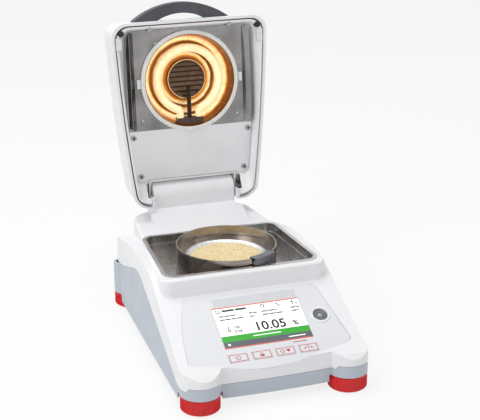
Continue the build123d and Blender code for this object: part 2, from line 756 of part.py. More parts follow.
# Chamber liner: a deep-drawn steel tray that hangs in the deck by its lip
with BuildPart() as chamber_liner:
    with BuildSketch(Plane.XY.offset(DECK_Z)):
        add(well_outline(-LINER_LIP))
    extrude(amount=LINER_T)
    with BuildSketch(Plane.XY.offset(LEDGE_Z)):
        add(well_outline(FIT))
    extrude(amount=DECK_Z - LEDGE_Z)
    with BuildSketch(Plane.XY.offset(CHAMBER_FLOOR_Z)):
        add(well_outline(FIT + LEDGE_W))
    extrude(amount=LEDGE_Z - CHAMBER_FLOOR_Z)
    with BuildSketch(Plane.XY.offset(LEDGE_Z + LINER_T)):
        add(well_outline(FIT + LINER_T))
    extrude(amount=30, mode=Mode.SUBTRACT)
    with BuildSketch(Plane.XY.offset(CHAMBER_FLOOR_Z + LINER_T)):
        add(well_outline(FIT + LEDGE_W + LINER_T))
    extrude(amount=30, mode=Mode.SUBTRACT)
    with Locations((0, PAN_Y, CHAMBER_FLOOR_Z)):
        Cylinder(9.5, 10, mode=Mode.SUBTRACT)
save("chamber_liner", chamber_liner.part)

# Pan handler: a tall ring with a shelf that lifts the dish by its rim
with BuildPart() as pan_handler:
    with BuildSketch(Plane.XY.offset(CHAMBER_FLOOR_Z + LINER_T + 0.2)):
        with Locations((0, PAN_Y)):
            Circle(HANDLER_R)
            Circle(HANDLER_R - HANDLER_T, mode=Mode.SUBTRACT)
    extrude(amount=HANDLER_TOP_Z - CHAMBER_FLOOR_Z - LINER_T - 0.2)
    with BuildSketch(Plane.XY.offset(SHELF_Z)):
        with Locations((0, PAN_Y)):
            Circle(HANDLER_R - 0.5)
            Circle(DISH_WALL_R + 0.9, mode=Mode.SUBTRACT)
    extrude(amount=HANDLER_T)
save("pan_handler", pan_handler.part)

# Grip: a plastic saddle over the ring's edge, taller inside than outside
with BuildPart() as handler_grip:
    inner_r = HANDLER_R - HANDLER_T
    with BuildSketch(Plane.XY.offset(HANDLER_TOP_Z - 6.4)):
        with Locations((0, PAN_Y)):
            Circle(HANDLER_R + 5)
            Circle(HANDLER_R + 0.05, mode=Mode.SUBTRACT)
    extrude(amount=7.6)
    with BuildSketch(Plane.XY.offset(HANDLER_TOP_Z - 10)):
        with Locations((0, PAN_Y)):
            Circle(inner_r - 0.05)
            Circle(inner_r - 3, mode=Mode.SUBTRACT)
    extrude(amount=11.2)
    with BuildSketch(Plane.XY.offset(HANDLER_TOP_Z + 0.05)):
        with Locations((0, PAN_Y)):
            Circle(HANDLER_R + 1)
            Circle(inner_r - 1, mode=Mode.SUBTRACT)
    extrude(amount=1.15)
    with BuildSketch(Plane.XY.offset(HANDLER_TOP_Z - 12)):
        with Locations(Location((0, PAN_Y, 0), (0, 0, GRIP_ANGLE))):
            with Locations((HANDLER_R, 0)):
                RectangleRounded(40, 30, 3)
    extrude(amount=20, mode=Mode.INTERSECT)
save("handler_grip", handler_grip.part)

# Sample dish: pressed aluminium foil with a flat rolled rim
with BuildPart() as sample_dish:
    with BuildSketch(Plane.XZ.offset(-PAN_Y)):
        with BuildLine():
            Polyline((0, DISH_FLOOR_Z), (DISH_WALL_R - 1.5, DISH_FLOOR_Z),
                     (DISH_WALL_R, DISH_RIM_Z - 0.6), (DISH_R, DISH_RIM_Z - 0.6),
                     (DISH_R, DISH_RIM_Z), (DISH_WALL_R - 0.5, DISH_RIM_Z),
                     (DISH_WALL_R - 2.0, DISH_FLOOR_Z + DISH_T), (0, DISH_FLOOR_Z + DISH_T),
                     (0, DISH_FLOOR_Z))
        make_face()
    revolve(axis=Axis((0, PAN_Y, 0), (0, 0, 1)))
save("sample_dish", sample_dish.part)

with BuildPart() as sample:
    with BuildSketch(Plane.XZ.offset(-PAN_Y)):
        with BuildLine():
            top = DISH_FLOOR_Z + DISH_T + SAMPLE_H
            Polyline((0, top + 0.6), (0, DISH_FLOOR_Z + DISH_T + 0.1),
                     (DISH_WALL_R - 2.3, DISH_FLOOR_Z + DISH_T + 0.1),
                     (DISH_WALL_R - 1.4, top - 0.6), (DISH_WALL_R / 2, top + 0.3), (0, top + 0.6))
        make_face()
    revolve(axis=Axis((0, PAN_Y, 0), (0, 0, 1)))
save("sample", sample.part)

# Feet: a pad that does not turn, a knurled wheel and its stud, and a brass insert
for name, (x, y) in zip(("front_left", "front_right", "rear_left", "rear_right"),
                        FRONT_FEET + REAR_FEET):
    with BuildPart() as pad:
        with BuildSketch(Plane.XY):
            with Locations((x, y)):
                Circle(PAD_R)
        extrude(amount=PAD_H)
    save(f"foot_pad_{name}", pad.part)
    with BuildPart() as wheel:
        with BuildSketch(Plane.XY.offset(1.0)):
            with Locations((x, y)):
                Circle(FOOT_R)
                Circle(PAD_R + 0.4, mode=Mode.SUBTRACT)
        extrude(amount=PAD_H + PAD_GAP - 1.0)
        with BuildSketch(Plane.XY.offset(PAD_H + PAD_GAP)):
            with Locations((x, y)):
                Circle(FOOT_R)
                Circle(STUD_R, mode=Mode.SUBTRACT)
        extrude(amount=COLUMN_Z - 0.6 - PAD_H - PAD_GAP)
        chamfer(wheel.faces().sort_by(Axis.Z)[-1].outer_wire().edges(), 1.2)
        chamfer(wheel.faces().sort_by(Axis.Z)[0].outer_wire().edges(), 0.8)
    save(f"foot_wheel_{name}", wheel.part)
    with BuildPart() as stud:
        with BuildSketch(Plane.XY.offset(PAD_H + PAD_GAP)):
            with Locations((x, y)):
                Circle(STUD_R)
        extrude(amount=STUD_TOP_Z - PAD_H - PAD_GAP - 4)
    save(f"foot_stud_{name}", stud.part)

with BuildPart() as foot_inserts:
    for x, y in FRONT_FEET + REAR_FEET:
        with BuildSketch(Plane.XY.offset(COLUMN_Z)):
            with Locations((x, y)):
                Circle(INSERT_R - 0.02)
                Circle(STUD_R + THREAD_CLEARANCE, mode=Mode.SUBTRACT)
        extrude(amount=STUD_TOP_Z - COLUMN_Z - 4)
save("foot_inserts", foot_inserts.part)

# Hinge: a bracket inside the knuckle holds the shaft that the lid turns on
with BuildPart() as hinge_shaft:
    with BuildSketch(Plane.YZ.offset(-SHAFT_LONG / 2)):
        with Locations((HINGE_Y, HINGE_Z)):
            Circle(SHAFT_R)
    extrude(amount=SHAFT_LONG)
save("hinge_shaft", hinge_shaft.part)

with BuildPart() as hinge_bracket:
    for side in (-1, 1):
        with BuildSketch(Plane.YZ.offset(side * BRACKET_X - BRACKET_T / 2)):
            with Locations((HINGE_Y, HINGE_Z - 13)):
                Rectangle(BRACKET_W, 38)
            with Locations((HINGE_Y, HINGE_Z)):
                Circle(SHAFT_R + SHAFT_CLEARANCE, mode=Mode.SUBTRACT)
        extrude(amount=BRACKET_T)
    with BuildSketch(Plane.XY.offset(HINGE_Z - 32)):
        with Locations((0, HINGE_Y)):
            Rectangle(2 * BRACKET_X + BRACKET_T, BRACKET_W)
    extrude(amount=BRACKET_T)
save("hinge_bracket", hinge_bracket.part)


# Lid: outlines at any height of the closed lid, smaller towards its crown
def lid_outline(shrink=0.0, rear_shrink=None):
    rear = LID_REAR_Y - (shrink * 0.35 if rear_shrink is None else rear_shrink)
    front = LID_FRONT_Y + shrink
    with BuildSketch() as outline:
        with BuildLine():
            Line((-LID_HALF_FRONT + shrink, front), (LID_HALF_FRONT - shrink, front))
            ThreePointArc((LID_HALF_FRONT - shrink, front), (LID_HALF_MID - shrink, LID_MID_Y),
                          (LID_HALF_REAR - shrink, rear))
            Line((LID_HALF_REAR - shrink, rear), (-LID_HALF_REAR + shrink, rear))
            ThreePointArc((-LID_HALF_REAR + shrink, rear), (-LID_HALF_MID + shrink, LID_MID_Y),
                          (-LID_HALF_FRONT + shrink, front))
        make_face()
        fillet(outline.vertices().group_by(Axis.Y)[0], LID_FRONT_R)
        fillet(outline.vertices().group_by(Axis.Y)[-1], LID_REAR_R)
    return outline.sketch


def lid_normal():
    plane = lid_plane(0)
    return Axis(plane.origin, plane.z_dir)


def dome(inset=0.0, below=0.0):
    """The lid's crowned outside, or its inside when it is drawn smaller."""
    with BuildPart() as shape:
        with BuildSketch(lid_plane(LID_RIM_Z - below)):
            add(lid_outline(inset))
        extrude(amount=LID_TOP_Z - LID_RIM_Z + below - inset, taper=LID_DRAFT_DEG)
        fillet(shape.faces().sort_by(lid_normal())[-1].edges(), LID_CROWN_R - inset)
    return shape.part


def notch(grow=0.0):
    """Room in the lid for the hinge knuckle at every angle."""
    r = KNUCKLE_R + NOTCH_GAP + grow
    with BuildPart() as room:
        with BuildSketch(lid_side_plane(0)):
            with Locations((HINGE_Y, HINGE_Z)):
                Circle(r)
            Polygon((HINGE_Y - r, HINGE_Z), (HINGE_Y - r, 60), (200, 60), (200, HINGE_Z),
                    align=None)
            Polygon((HINGE_Y, HINGE_Z - 1), (200, HINGE_Z - 1), (200, HINGE_Z + r + 1.6),
                    (HINGE_Y, HINGE_Z + r + 1.6), align=None)
        extrude(amount=KNUCKLE_HALF + NOTCH_GAP + grow, both=True)
    return room.part


def ramp_room():
    """Room in the closed lid for the ramp, cut from the lid's own moving pieces."""
    slope = (RAMP_TOP_Z - DECK_Z) / (HINGE_Y - KNUCKLE_R - RAMP_FOOT_Y)
    with BuildPart() as room:
        with BuildSketch(lid_side_plane(0)):
            Polygon((RAMP_FOOT_Y - 3, 90), (RAMP_FOOT_Y - 3, DECK_Z + 1.0),
                    (HINGE_Y, DECK_Z + 1.5 + (HINGE_Y - RAMP_FOOT_Y) * slope), (HINGE_Y, 90),
                    align=None)
        extrude(amount=KNUCKLE_HALF + FLARE + 1.5, both=True)
    return room.part


def lid_inside():
    with BuildPart() as space:
        add(dome(LID_WALL, 6.0))
        add(notch(LID_WALL), mode=Mode.SUBTRACT)
    return space.part


with BuildPart() as lid_shell:
    add(dome())
    add(notch(), mode=Mode.SUBTRACT)
    add(lid_inside(), mode=Mode.SUBTRACT)
    # rear rim rises so that it clears the deck as the lid turns
    with BuildSketch(lid_side_plane(0)):
        Polygon((HINGE_Y, LID_RIM_Z - 9), (HINGE_Y, LID_RIM_Z), (160, LID_RIM_Z + 14),
                (160, LID_RIM_Z - 9), align=None)
    extrude(amount=120, both=True, mode=Mode.SUBTRACT)
    with BuildSketch(lid_side_plane(0)):
        with Locations((HINGE_Y, HINGE_Z)):
            Circle(SHAFT_R + 0.4)
    extrude(amount=62, both=True, mode=Mode.SUBTRACT)
    add(ramp_room(), mode=Mode.SUBTRACT)
    # outlet slots over the louvre
    with BuildSketch(lid_plane(LID_TOP_Z - 12)):
        with Locations((0, PAN_Y)):
            with GridLocations(0, 6.0, 1, 7):
                SlotOverall(34, 2.6)
    extrude(amount=24, mode=Mode.SUBTRACT)
save("lid_shell", lid_shell.part)


# Lid frame: the moulding that slopes in from the rim to a ledge that carries the liner


def opening_outline(grow=0.0):
    with BuildSketch() as outline:
        with BuildLine():
            Line((-70, -72.5), (70, -72.5))
            ThreePointArc((70, -72.5), (74.4, 10), (66.8, 99.5))
            Line((66.8, 99.5), (-66.8, 99.5))
            ThreePointArc((-66.8, 99.5), (-74.4, 10), (-70, -72.5))
        make_face()
        fillet(outline.vertices(), 8)
        if grow:
            offset(amount=grow)
    return outline.sketch


def funnel(inset, low, high):
    with BuildPart() as shape:
        with BuildSketch(lid_plane(low)):
            add(lid_outline(LID_WALL + 4 * FRAME_GAP + inset))
        with BuildSketch(lid_plane(high)):
            add(opening_outline(FRAME_T - inset))
        loft(ruled=True)
    return shape.part


with BuildPart() as lid_frame:
    add(funnel(0, LID_RIM_Z + 0.6, LEDGE_PLATE_Z))
    add(funnel(FRAME_T, LID_RIM_Z + 0.6, LEDGE_PLATE_Z), mode=Mode.SUBTRACT)
    with BuildSketch(lid_plane(LEDGE_PLATE_Z)):
        add(opening_outline(FRAME_T))
        add(opening_outline(-6), mode=Mode.SUBTRACT)
        with Locations((0, PAN_Y)):
            Circle(REFLECTOR_RING_R + FRAME_GAP, mode=Mode.SUBTRACT)
    extrude(amount=2)
    add(notch(LID_WALL + FRAME_GAP), mode=Mode.SUBTRACT)
    add(ramp_room(), mode=Mode.SUBTRACT)
    with BuildSketch(lid_plane(LID_RIM_Z - 3)):
        with Locations(*BUMPERS):
            Circle(BUMPER_R + FIT)
        with Locations(*CLIPS):
            Rectangle(CLIP_W + 2 * FIT, CLIP_L + 2 * FIT)
        with Locations(*FRAME_SCREWS):
            Circle(FRAME_SCREW_R + FIT)
        with Locations(*COVER_SCREWS):
            Circle(COVER_SCREW_R + FIT)
    extrude(amount=20, mode=Mode.SUBTRACT)
    with BuildSketch(lid_side_plane(0)):
        Polygon((HINGE_Y, LID_RIM_Z - 9), (HINGE_Y, LID_RIM_Z + 0.6), (160, LID_RIM_Z + 14),
                (160, LID_RIM_Z - 9), align=None)
    extrude(amount=120, both=True, mode=Mode.SUBTRACT)
save("lid_frame", lid_frame.part)

with BuildPart() as lid_bumpers:
    with BuildSketch(lid_plane(DECK_Z + LINER_T + 0.2)):
        with Locations(*BUMPERS):
            Circle(BUMPER_R)
    extrude(amount=5.5)
save("lid_bumpers", lid_bumpers.part)

with BuildPart() as rim_clips:
    with BuildSketch(lid_plane(LID_RIM_Z + 0.6)):
        with Locations(*CLIPS):
            RectangleRounded(CLIP_W, CLIP_L, 0.8)
    extrude(amount=6)
save("rim_clips", rim_clips.part)

with BuildPart() as frame_screws:
    with BuildSketch(lid_plane(LID_RIM_Z + 3)):
        with Locations(*FRAME_SCREWS):
            Circle(FRAME_SCREW_R)
    extrude(amount=7)
save("frame_screws", frame_screws.part)

# Reflective liner plate and cover plate, both under the frame's ledge
with BuildPart() as lid_liner:
    with BuildSketch(lid_plane(LINER_PLATE_Z)):
        add(opening_outline(-FRAME_GAP))
        with Locations((0, COVER_FRONT_Y + 100)):
            Rectangle(200, 200.6, mode=Mode.SUBTRACT)
        with Locations((0, PAN_Y)):
            Circle(REFLECTOR_RING_R + FIT, mode=Mode.SUBTRACT)
    extrude(amount=1)
save("lid_liner", lid_liner.part)

with BuildPart() as cover_plate:
    with BuildSketch(lid_plane(COVER_Z)):
        add(opening_outline(-FRAME_GAP))
        with Locations((0, COVER_FRONT_Y - 100)):
            Rectangle(200, 200, mode=Mode.SUBTRACT)
        with Locations((0, COVER_REAR_Y + 100)):
            Rectangle(200, 200, mode=Mode.SUBTRACT)
        with Locations((0, PAN_Y)):
            Circle(REFLECTOR_RING_R + FIT, mode=Mode.SUBTRACT)
        with Locations(*COVER_SCREWS):
            Circle(COVER_SCREW_R + FIT, mode=Mode.SUBTRACT)
    extrude(amount=COVER_T)
    add(notch(LID_WALL + FRAME_GAP), mode=Mode.SUBTRACT)
save("cover_plate", cover_plate.part)

with BuildPart() as cover_screws:
    with BuildSketch(lid_plane(COVER_Z - COVER_HEAD_H)):
        with Locations(*COVER_SCREWS):
            Circle(COVER_HEAD_R)
    extrude(amount=COVER_HEAD_H)
    with BuildSketch(lid_plane(COVER_Z)):
        with Locations(*COVER_SCREWS):
            Circle(COVER_SCREW_R)
    extrude(amount=5)
    with BuildSketch(lid_plane(COVER_Z - COVER_HEAD_H)):
        with Locations(*COVER_SCREWS):
            RegularPolygon(1.4, 6)
    extrude(amount=1.2, mode=Mode.SUBTRACT)
save("cover_screws", cover_screws.part)


# Heater: ring, gilded reflector with two channels, ring lamp, sensor and louvre
def lid_axis():
    y1, z1 = opened(PAN_Y, 0)
    return Axis((0, y1, z1), (0, math.sin(OPENED), math.cos(OPENED)))


def pan_side_plane():
    """Radius across, closed height up, about the middle of the dish."""
    y1, z1 = opened(PAN_Y, 0)
    return Plane(origin=(0, y1, z1), x_dir=(0, math.cos(OPENED), -math.sin(OPENED)),
                 z_dir=(1, 0, 0))


with BuildPart() as reflector_ring:
    with BuildSketch(lid_plane(REFLECTOR_LIP_Z)):
        with Locations((0, PAN_Y)):
            Circle(REFLECTOR_RING_R)
            Circle(REFLECTOR_R, mode=Mode.SUBTRACT)
    extrude(amount=10)
    fillet(reflector_ring.faces().sort_by(lid_axis())[0].edges(), 1.0)
save("reflector_ring", reflector_ring.part)

with BuildPart() as reflector:
    with BuildSketch(pan_side_plane()):
        with BuildLine():
            outer, middle, inner = REFLECTOR_R - 0.4, LAMP_R, GRILLE_R + 0.4
            Line((outer, REFLECTOR_LIP_Z + 1), (outer - 1.5, CHANNEL_Z))
            ThreePointArc((outer - 1.5, CHANNEL_Z), ((outer + middle) / 2, CHANNEL_TOP_Z),
                          (middle, CHANNEL_Z))
            ThreePointArc((middle, CHANNEL_Z), ((middle + inner) / 2, CHANNEL_TOP_Z),
                          (inner, CHANNEL_Z))
            Line((inner, CHANNEL_Z), (inner, CHANNEL_Z + SHEET))
            ThreePointArc((inner, CHANNEL_Z + SHEET), ((middle + inner) / 2, CHANNEL_TOP_Z + SHEET),
                          (middle, CHANNEL_Z + 2 * SHEET))
            ThreePointArc((middle, CHANNEL_Z + 2 * SHEET),
                          ((outer + middle) / 2, CHANNEL_TOP_Z + SHEET),
                          (outer - 1.5 + SHEET * 0.4, CHANNEL_Z + SHEET))
            Polyline((outer - 1.5 + SHEET * 0.4, CHANNEL_Z + SHEET), (outer - 1.2, CHANNEL_Z),
                     (outer + 0.3, REFLECTOR_LIP_Z + 1), (outer, REFLECTOR_LIP_Z + 1))
        make_face()
    revolve(axis=lid_axis())
save("reflector", reflector.part)

with BuildPart() as lamp_holder:
    with BuildSketch(lid_plane(LAMP_Z - 6)):
        with Locations((0, PAN_Y + HOLDER_R + 3.0)):
            RectangleRounded(30, 6.4, 1)
        with Locations((0, PAN_Y)):
            Circle(REFLECTOR_R - 2.2, mode=Mode.INTERSECT)
    extrude(amount=12)
    with BuildSketch(Plane(origin=(0, *opened(PAN_Y + HOLDER_R - 2, LAMP_Z)), x_dir=(1, 0, 0),
                           z_dir=(0, math.cos(OPENED), -math.sin(OPENED)))):
        with Locations((-LAMP_LEG_X, 0), (LAMP_LEG_X, 0)):
            Circle(LAMP_LEG_R + 0.05)
        Circle(SENSOR_R + 0.05)
    extrude(amount=6, mode=Mode.SUBTRACT)
save("lamp_holder", lamp_holder.part)

with BuildPart() as halogen_lamp:
    gap = math.radians(LAMP_GAP_DEG)
    y1, z1 = opened(PAN_Y, LAMP_Z)
    lamp_plane = Plane(origin=(0, y1, z1), x_dir=(1, 0, 0),
                       z_dir=(0, math.sin(OPENED), math.cos(OPENED)))
    start = (-LAMP_R * math.sin(gap), LAMP_R * math.cos(gap))
    with BuildSketch(lamp_plane * Plane(origin=(start[0], start[1], 0),
                                        z_dir=(start[1], -start[0], 0))):
        Circle(LAMP_TUBE_R)
    revolve(axis=lid_axis(), revolution_arc=360 - 2 * LAMP_GAP_DEG)
    for side in (-1, 1):
        with BuildSketch(Plane(origin=(side * LAMP_LEG_X, *opened(PAN_Y + LAMP_LEG_Y, LAMP_Z)),
                               x_dir=(1, 0, 0), z_dir=(0, math.cos(OPENED), -math.sin(OPENED)))):
            Circle(LAMP_LEG_R)
        extrude(amount=HOLDER_R + 3.5 - LAMP_LEG_Y)
save("halogen_lamp", halogen_lamp.part)

with BuildPart() as temp_sensor:
    with BuildSketch(Plane(origin=(0, *opened(PAN_Y + SENSOR_TIP_Y, LAMP_Z)), x_dir=(1, 0, 0),
                           z_dir=(0, math.cos(OPENED), -math.sin(OPENED)))):
        Circle(SENSOR_R)
    extrude(amount=HOLDER_R + 3.5 - SENSOR_TIP_Y)
save("temp_sensor", temp_sensor.part)

with BuildPart() as vent_grille:
    with BuildSketch(lid_plane(GRILLE_Z)):
        with Locations((0, PAN_Y)):
            Circle(GRILLE_R)
            Circle(GRILLE_R - 1.8, mode=Mode.SUBTRACT)
            with GridLocations(0, SLAT_PITCH, 1, 7):
                Rectangle(2 * GRILLE_R, 2.6)
            Circle(GRILLE_R, mode=Mode.INTERSECT)
    extrude(amount=2)
save("vent_grille", vent_grille.part)

# Handle: a crescent grip with a finger gap, on the front of the lid
with BuildPart() as lid_handle:
    with BuildSketch(lid_plane(HANDLE_Z)):
        with BuildLine():
            Polyline((-56, -60), (-56, -80))
            ThreePointArc((-56, -80), (0, -98.5), (56, -80))
            Polyline((56, -80), (56, -60), (-56, -60))
        make_face()
        with BuildLine():
            Line((-36, -50), (-36, -74))
            ThreePointArc((-36, -74), (0, -86.5), (36, -74))
            Polyline((36, -74), (36, -50), (-36, -50))
        make_face(mode=Mode.SUBTRACT)
    extrude(amount=HANDLE_T)
    add(dome(-0.05, 0.0), mode=Mode.SUBTRACT)
save("lid_handle", lid_handle.part)

# Arms that tie the lid's frame to the shaft
with BuildPart() as hinge_arms:
    for side in (-1, 1):
        with BuildSketch(lid_side_plane(side * ARM_X - ARM_T / 2)):
            with Locations((HINGE_Y, HINGE_Z)):
                Circle(ARM_R)
            Polygon((HINGE_Y, HINGE_Z + ARM_R), (84, HINGE_Z + 2), (84, LEDGE_PLATE_Z + 2.2),
                    (HINGE_Y - 8, LEDGE_PLATE_Z + 2.2), align=None)
            with Locations((HINGE_Y, HINGE_Z)):
                Circle(SHAFT_R + SHAFT_CLEARANCE, mode=Mode.SUBTRACT)
        extrude(amount=ARM_T)
save("hinge_arms", hinge_arms.part)
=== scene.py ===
# %% [markdown]
# A halogen moisture analyzer with its lid open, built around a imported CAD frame.
# The frame holds every real size and every joint. This file only adds finishes and the
# fine shapes that CAD leaves plain: rounded edges, knurls, crimps, grains and the display.

# %% Load the frame
import json
import math

import bmesh
import bpy
from mathutils import Matrix, Vector


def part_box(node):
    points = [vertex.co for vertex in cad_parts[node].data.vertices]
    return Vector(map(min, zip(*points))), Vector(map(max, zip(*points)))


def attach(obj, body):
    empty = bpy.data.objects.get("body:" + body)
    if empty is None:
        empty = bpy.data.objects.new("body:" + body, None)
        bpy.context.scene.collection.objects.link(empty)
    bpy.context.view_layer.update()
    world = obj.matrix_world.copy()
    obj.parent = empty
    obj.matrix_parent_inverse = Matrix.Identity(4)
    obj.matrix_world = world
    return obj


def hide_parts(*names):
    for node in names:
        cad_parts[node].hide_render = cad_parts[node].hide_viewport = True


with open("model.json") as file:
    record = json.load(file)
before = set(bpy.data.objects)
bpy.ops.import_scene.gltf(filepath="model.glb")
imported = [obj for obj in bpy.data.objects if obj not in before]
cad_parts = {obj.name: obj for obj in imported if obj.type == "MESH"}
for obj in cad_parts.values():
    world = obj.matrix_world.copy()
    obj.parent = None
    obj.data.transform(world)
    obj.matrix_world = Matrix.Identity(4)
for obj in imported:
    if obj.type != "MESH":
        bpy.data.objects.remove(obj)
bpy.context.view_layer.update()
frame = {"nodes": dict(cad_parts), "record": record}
NODES = frame["nodes"]
BODY_OF = {node: body for body, names in frame["record"]["behaviour"]["bodies"].items()
           for node in names}
MM = 0.001

# %% [markdown]
# The photograph looks slightly down from the left of the front. A long lens far away gives
# its mild perspective. The picture is 480 pixels wide, so a focal length found in pixels
# becomes millimetres on a 36 mm sensor by simple proportion.

# %% Camera
PICTURE_W = 480
FOCAL_PX = 1400.58
SENSOR_MM = 36.0
YAW, PITCH = math.radians(18.94), math.radians(19.75)
CAMERA_AT = (-0.44517, -1.35588, 0.65590)

camera_data = bpy.data.cameras.new("camera")
camera_data.sensor_fit = "HORIZONTAL"
camera_data.sensor_width = SENSOR_MM
camera_data.lens = FOCAL_PX / PICTURE_W * SENSOR_MM
camera_data.clip_end = 20.0
camera = bpy.data.objects.new("camera", camera_data)
camera.location = CAMERA_AT
camera.rotation_euler = (math.pi / 2 - PITCH, 0.0, -YAW)
bpy.context.collection.objects.link(camera)
bpy.context.scene.camera = camera
bpy.context.scene.view_settings.view_transform = "Standard"
print("lens", round(camera_data.lens, 1), "mm")

# %% [markdown]
# Materials are node trees. One function turns a hex colour as a designer writes it into the
# linear numbers that the renderer needs, one adds a node with its settings and links, and
# one adds a maths node, whose inputs are numbers or sockets of other nodes.

# %% Helpers for materials
def linear(code):
    """An sRGB hex colour as linear red, green, blue and an alpha of one."""
    values = [int(code[i:i + 2], 16) / 255 for i in (1, 3, 5)]
    return [v / 12.92 if v <= 0.04045 else ((v + 0.055) / 1.055) ** 2.4 for v in values] + [1.0]


def add_node(tree, kind, inputs=None, **settings):
    item = tree.nodes.new(kind)
    for name, value in settings.items():
        setattr(item, name, value)
    for name, value in (inputs or {}).items():
        socket = item.inputs[name]
        if isinstance(value, bpy.types.NodeSocket):
            tree.links.new(value, socket)
        else:
            socket.default_value = value
    return item


def maths(tree, operation, *values):
    item = add_node(tree, "ShaderNodeMath", dict(enumerate(values)), operation=operation)
    return item.outputs[0]


def noise(tree, size_mm, stretch=(1, 1, 1), detail=3.0):
    """Noise whose blotches are about size_mm across, in the object's own metres."""
    place = add_node(tree, "ShaderNodeTexCoord")
    scaled = add_node(tree, "ShaderNodeMapping",
                      {"Vector": place.outputs["Object"], "Scale": stretch})
    return add_node(tree, "ShaderNodeTexNoise",
                    {"Vector": scaled.outputs["Vector"], "Scale": 1 / (size_mm * MM),
                     "Detail": detail})


TINT_FROM, TINT_TO = 0.35, 0.7
WEAR_FROM, WEAR_TO = 0.3, 0.7
PLASTIC_IOR, BUMP_STRENGTH = 1.5, 0.5


def surface(name, colour, roughness, metallic=0.0, tint=None, wear=None, relief=None,
            **sockets):
    """A principled finish. tint is (mm, second colour), wear (mm, low, high) moves the
    roughness, relief is (mm, height in mm, stretch) and drives a bump."""
    material = bpy.data.materials.new(name)
    material.use_nodes = True
    tree = material.node_tree
    shader = tree.nodes["Principled BSDF"]
    shader.inputs["Base Color"].default_value = linear(colour)
    shader.inputs["Roughness"].default_value = roughness
    shader.inputs["Metallic"].default_value = metallic
    shader.inputs["IOR"].default_value = PLASTIC_IOR
    for socket, value in sockets.items():
        shader.inputs[socket.replace("_", " ")].default_value = value
    if tint:
        blotches = noise(tree, tint[0])
        ramp = add_node(tree, "ShaderNodeValToRGB", {"Fac": blotches.outputs["Fac"]})
        stops = ((TINT_FROM, colour), (TINT_TO, tint[1]))
        for stop, (position, code) in zip(ramp.color_ramp.elements, stops):
            stop.position = position
            stop.color = linear(code)
        tree.links.new(ramp.outputs["Color"], shader.inputs["Base Color"])
    if wear:
        patches = noise(tree, wear[0], detail=2.0)
        spread = add_node(tree, "ShaderNodeMapRange",
                          {"Value": patches.outputs["Fac"], "From Min": WEAR_FROM,
                           "From Max": WEAR_TO, "To Min": wear[1], "To Max": wear[2]})
        tree.links.new(spread.outputs["Result"], shader.inputs["Roughness"])
    if relief:
        grain = noise(tree, relief[0], relief[2] if len(relief) > 2 else (1, 1, 1), 2.0)
        bump = add_node(tree, "ShaderNodeBump",
                        {"Height": grain.outputs["Fac"], "Strength": BUMP_STRENGTH,
                         "Distance": relief[1] * MM})
        tree.links.new(bump.outputs["Normal"], shader.inputs["Normal"])
    return material


# %% [markdown]
# The casing is injection-moulded ABS, which leaves the tool with a fine spark-eroded
# texture: a soft sheen with no clear reflections. The lower shell is a cool grey of the
# same plastic. Handle, grip and bumpers are a softer dark plastic.

# %% Plastics
ABS_WHITE = surface("abs_moulded_white", "#F0F0F2", 0.4, tint=(60, "#ECEDF0"),
                    wear=(25, 0.36, 0.46), relief=(0.5, 0.01))
ABS_PANEL = surface("abs_painted_panel", "#E4E5E8", 0.36, tint=(45, "#E0E1E5"),
                    wear=(20, 0.32, 0.42), relief=(0.45, 0.008))
ABS_GREY = surface("abs_moulded_blue_grey", "#BDC4CD", 0.45, tint=(50, "#B7BFC9"),
                   wear=(22, 0.4, 0.52), relief=(0.5, 0.012))
ABS_RED = surface("abs_moulded_red", "#DE1219", 0.32, tint=(9, "#D00F16"),
                  wear=(6, 0.28, 0.4), relief=(0.6, 0.012))
SOFT_GREY = surface("soft_touch_dark_grey", "#484A4F", 0.5, tint=(14, "#404247"),
                    wear=(9, 0.44, 0.6), relief=(0.5, 0.015))
GRIP_GREY = surface("soft_touch_mid_grey", "#6C6F74", 0.46, tint=(8, "#64676C"),
                    wear=(6, 0.4, 0.54), relief=(0.5, 0.012))
RUBBER = surface("rubber_black", "#1B1C1E", 0.72, tint=(5, "#222326"),
                 wear=(4, 0.66, 0.8), relief=(0.6, 0.02))
CLIP_WHITE = surface("nylon_white", "#E9EAEA", 0.42, tint=(6, "#E2E3E3"),
                     wear=(5, 0.38, 0.5), relief=(0.5, 0.01))
KEY_FILM = surface("polyester_key_film", "#E6E7E9", 0.3, tint=(12, "#E2E3E6"),
                   wear=(8, 0.26, 0.36), relief=(0.4, 0.006))
print("plastics ready")

# %% [markdown]
# Inside, the heat is kept in by stainless steel. The lid's liner is bright: its roughness is
# the lowest and its colour deep, because it mirrors the room in front of it. The chamber's
# steel is lighter and duller, with long faint rolling lines.

# %% Metals
STEEL_MIRROR = surface("stainless_mirror", "#C9C8C7", 0.26, 1.0, tint=(35, "#B4B2B1"),
                       wear=(18, 0.2, 0.34), relief=(2.2, 0.004, (0.15, 1, 1)))
STEEL_LID = surface("stainless_bright_liner", "#9C9A99", 0.07, 1.0, tint=(30, "#7D7B7A"),
                    wear=(20, 0.04, 0.12), relief=(14.0, 0.05, (1, 1, 0.6)))
STEEL_RING = surface("stainless_heat_tinted", "#B3ABA4", 0.28, 1.0, tint=(26, "#948B84"),
                     wear=(14, 0.18, 0.34), relief=(3.0, 0.008, (1, 1, 0.2)))
STEEL_SATIN = surface("stainless_satin", "#DADADC", 0.36, 1.0, tint=(40, "#CFCFD2"),
                      wear=(14, 0.3, 0.42), relief=(0.35, 0.004, (0.04, 1, 1)))
SENSOR_STEEL = surface("sensor_sheath_dark", "#2B211B", 0.35, 0.8, tint=(4, "#3A2C22"),
                       wear=(3, 0.3, 0.45), relief=(0.6, 0.006))
FOIL = surface("aluminium_foil_pressed", "#DADBDD", 0.3, 1.0, tint=(6, "#C4C5C9"),
               wear=(4, 0.24, 0.4), relief=(0.8, 0.02))
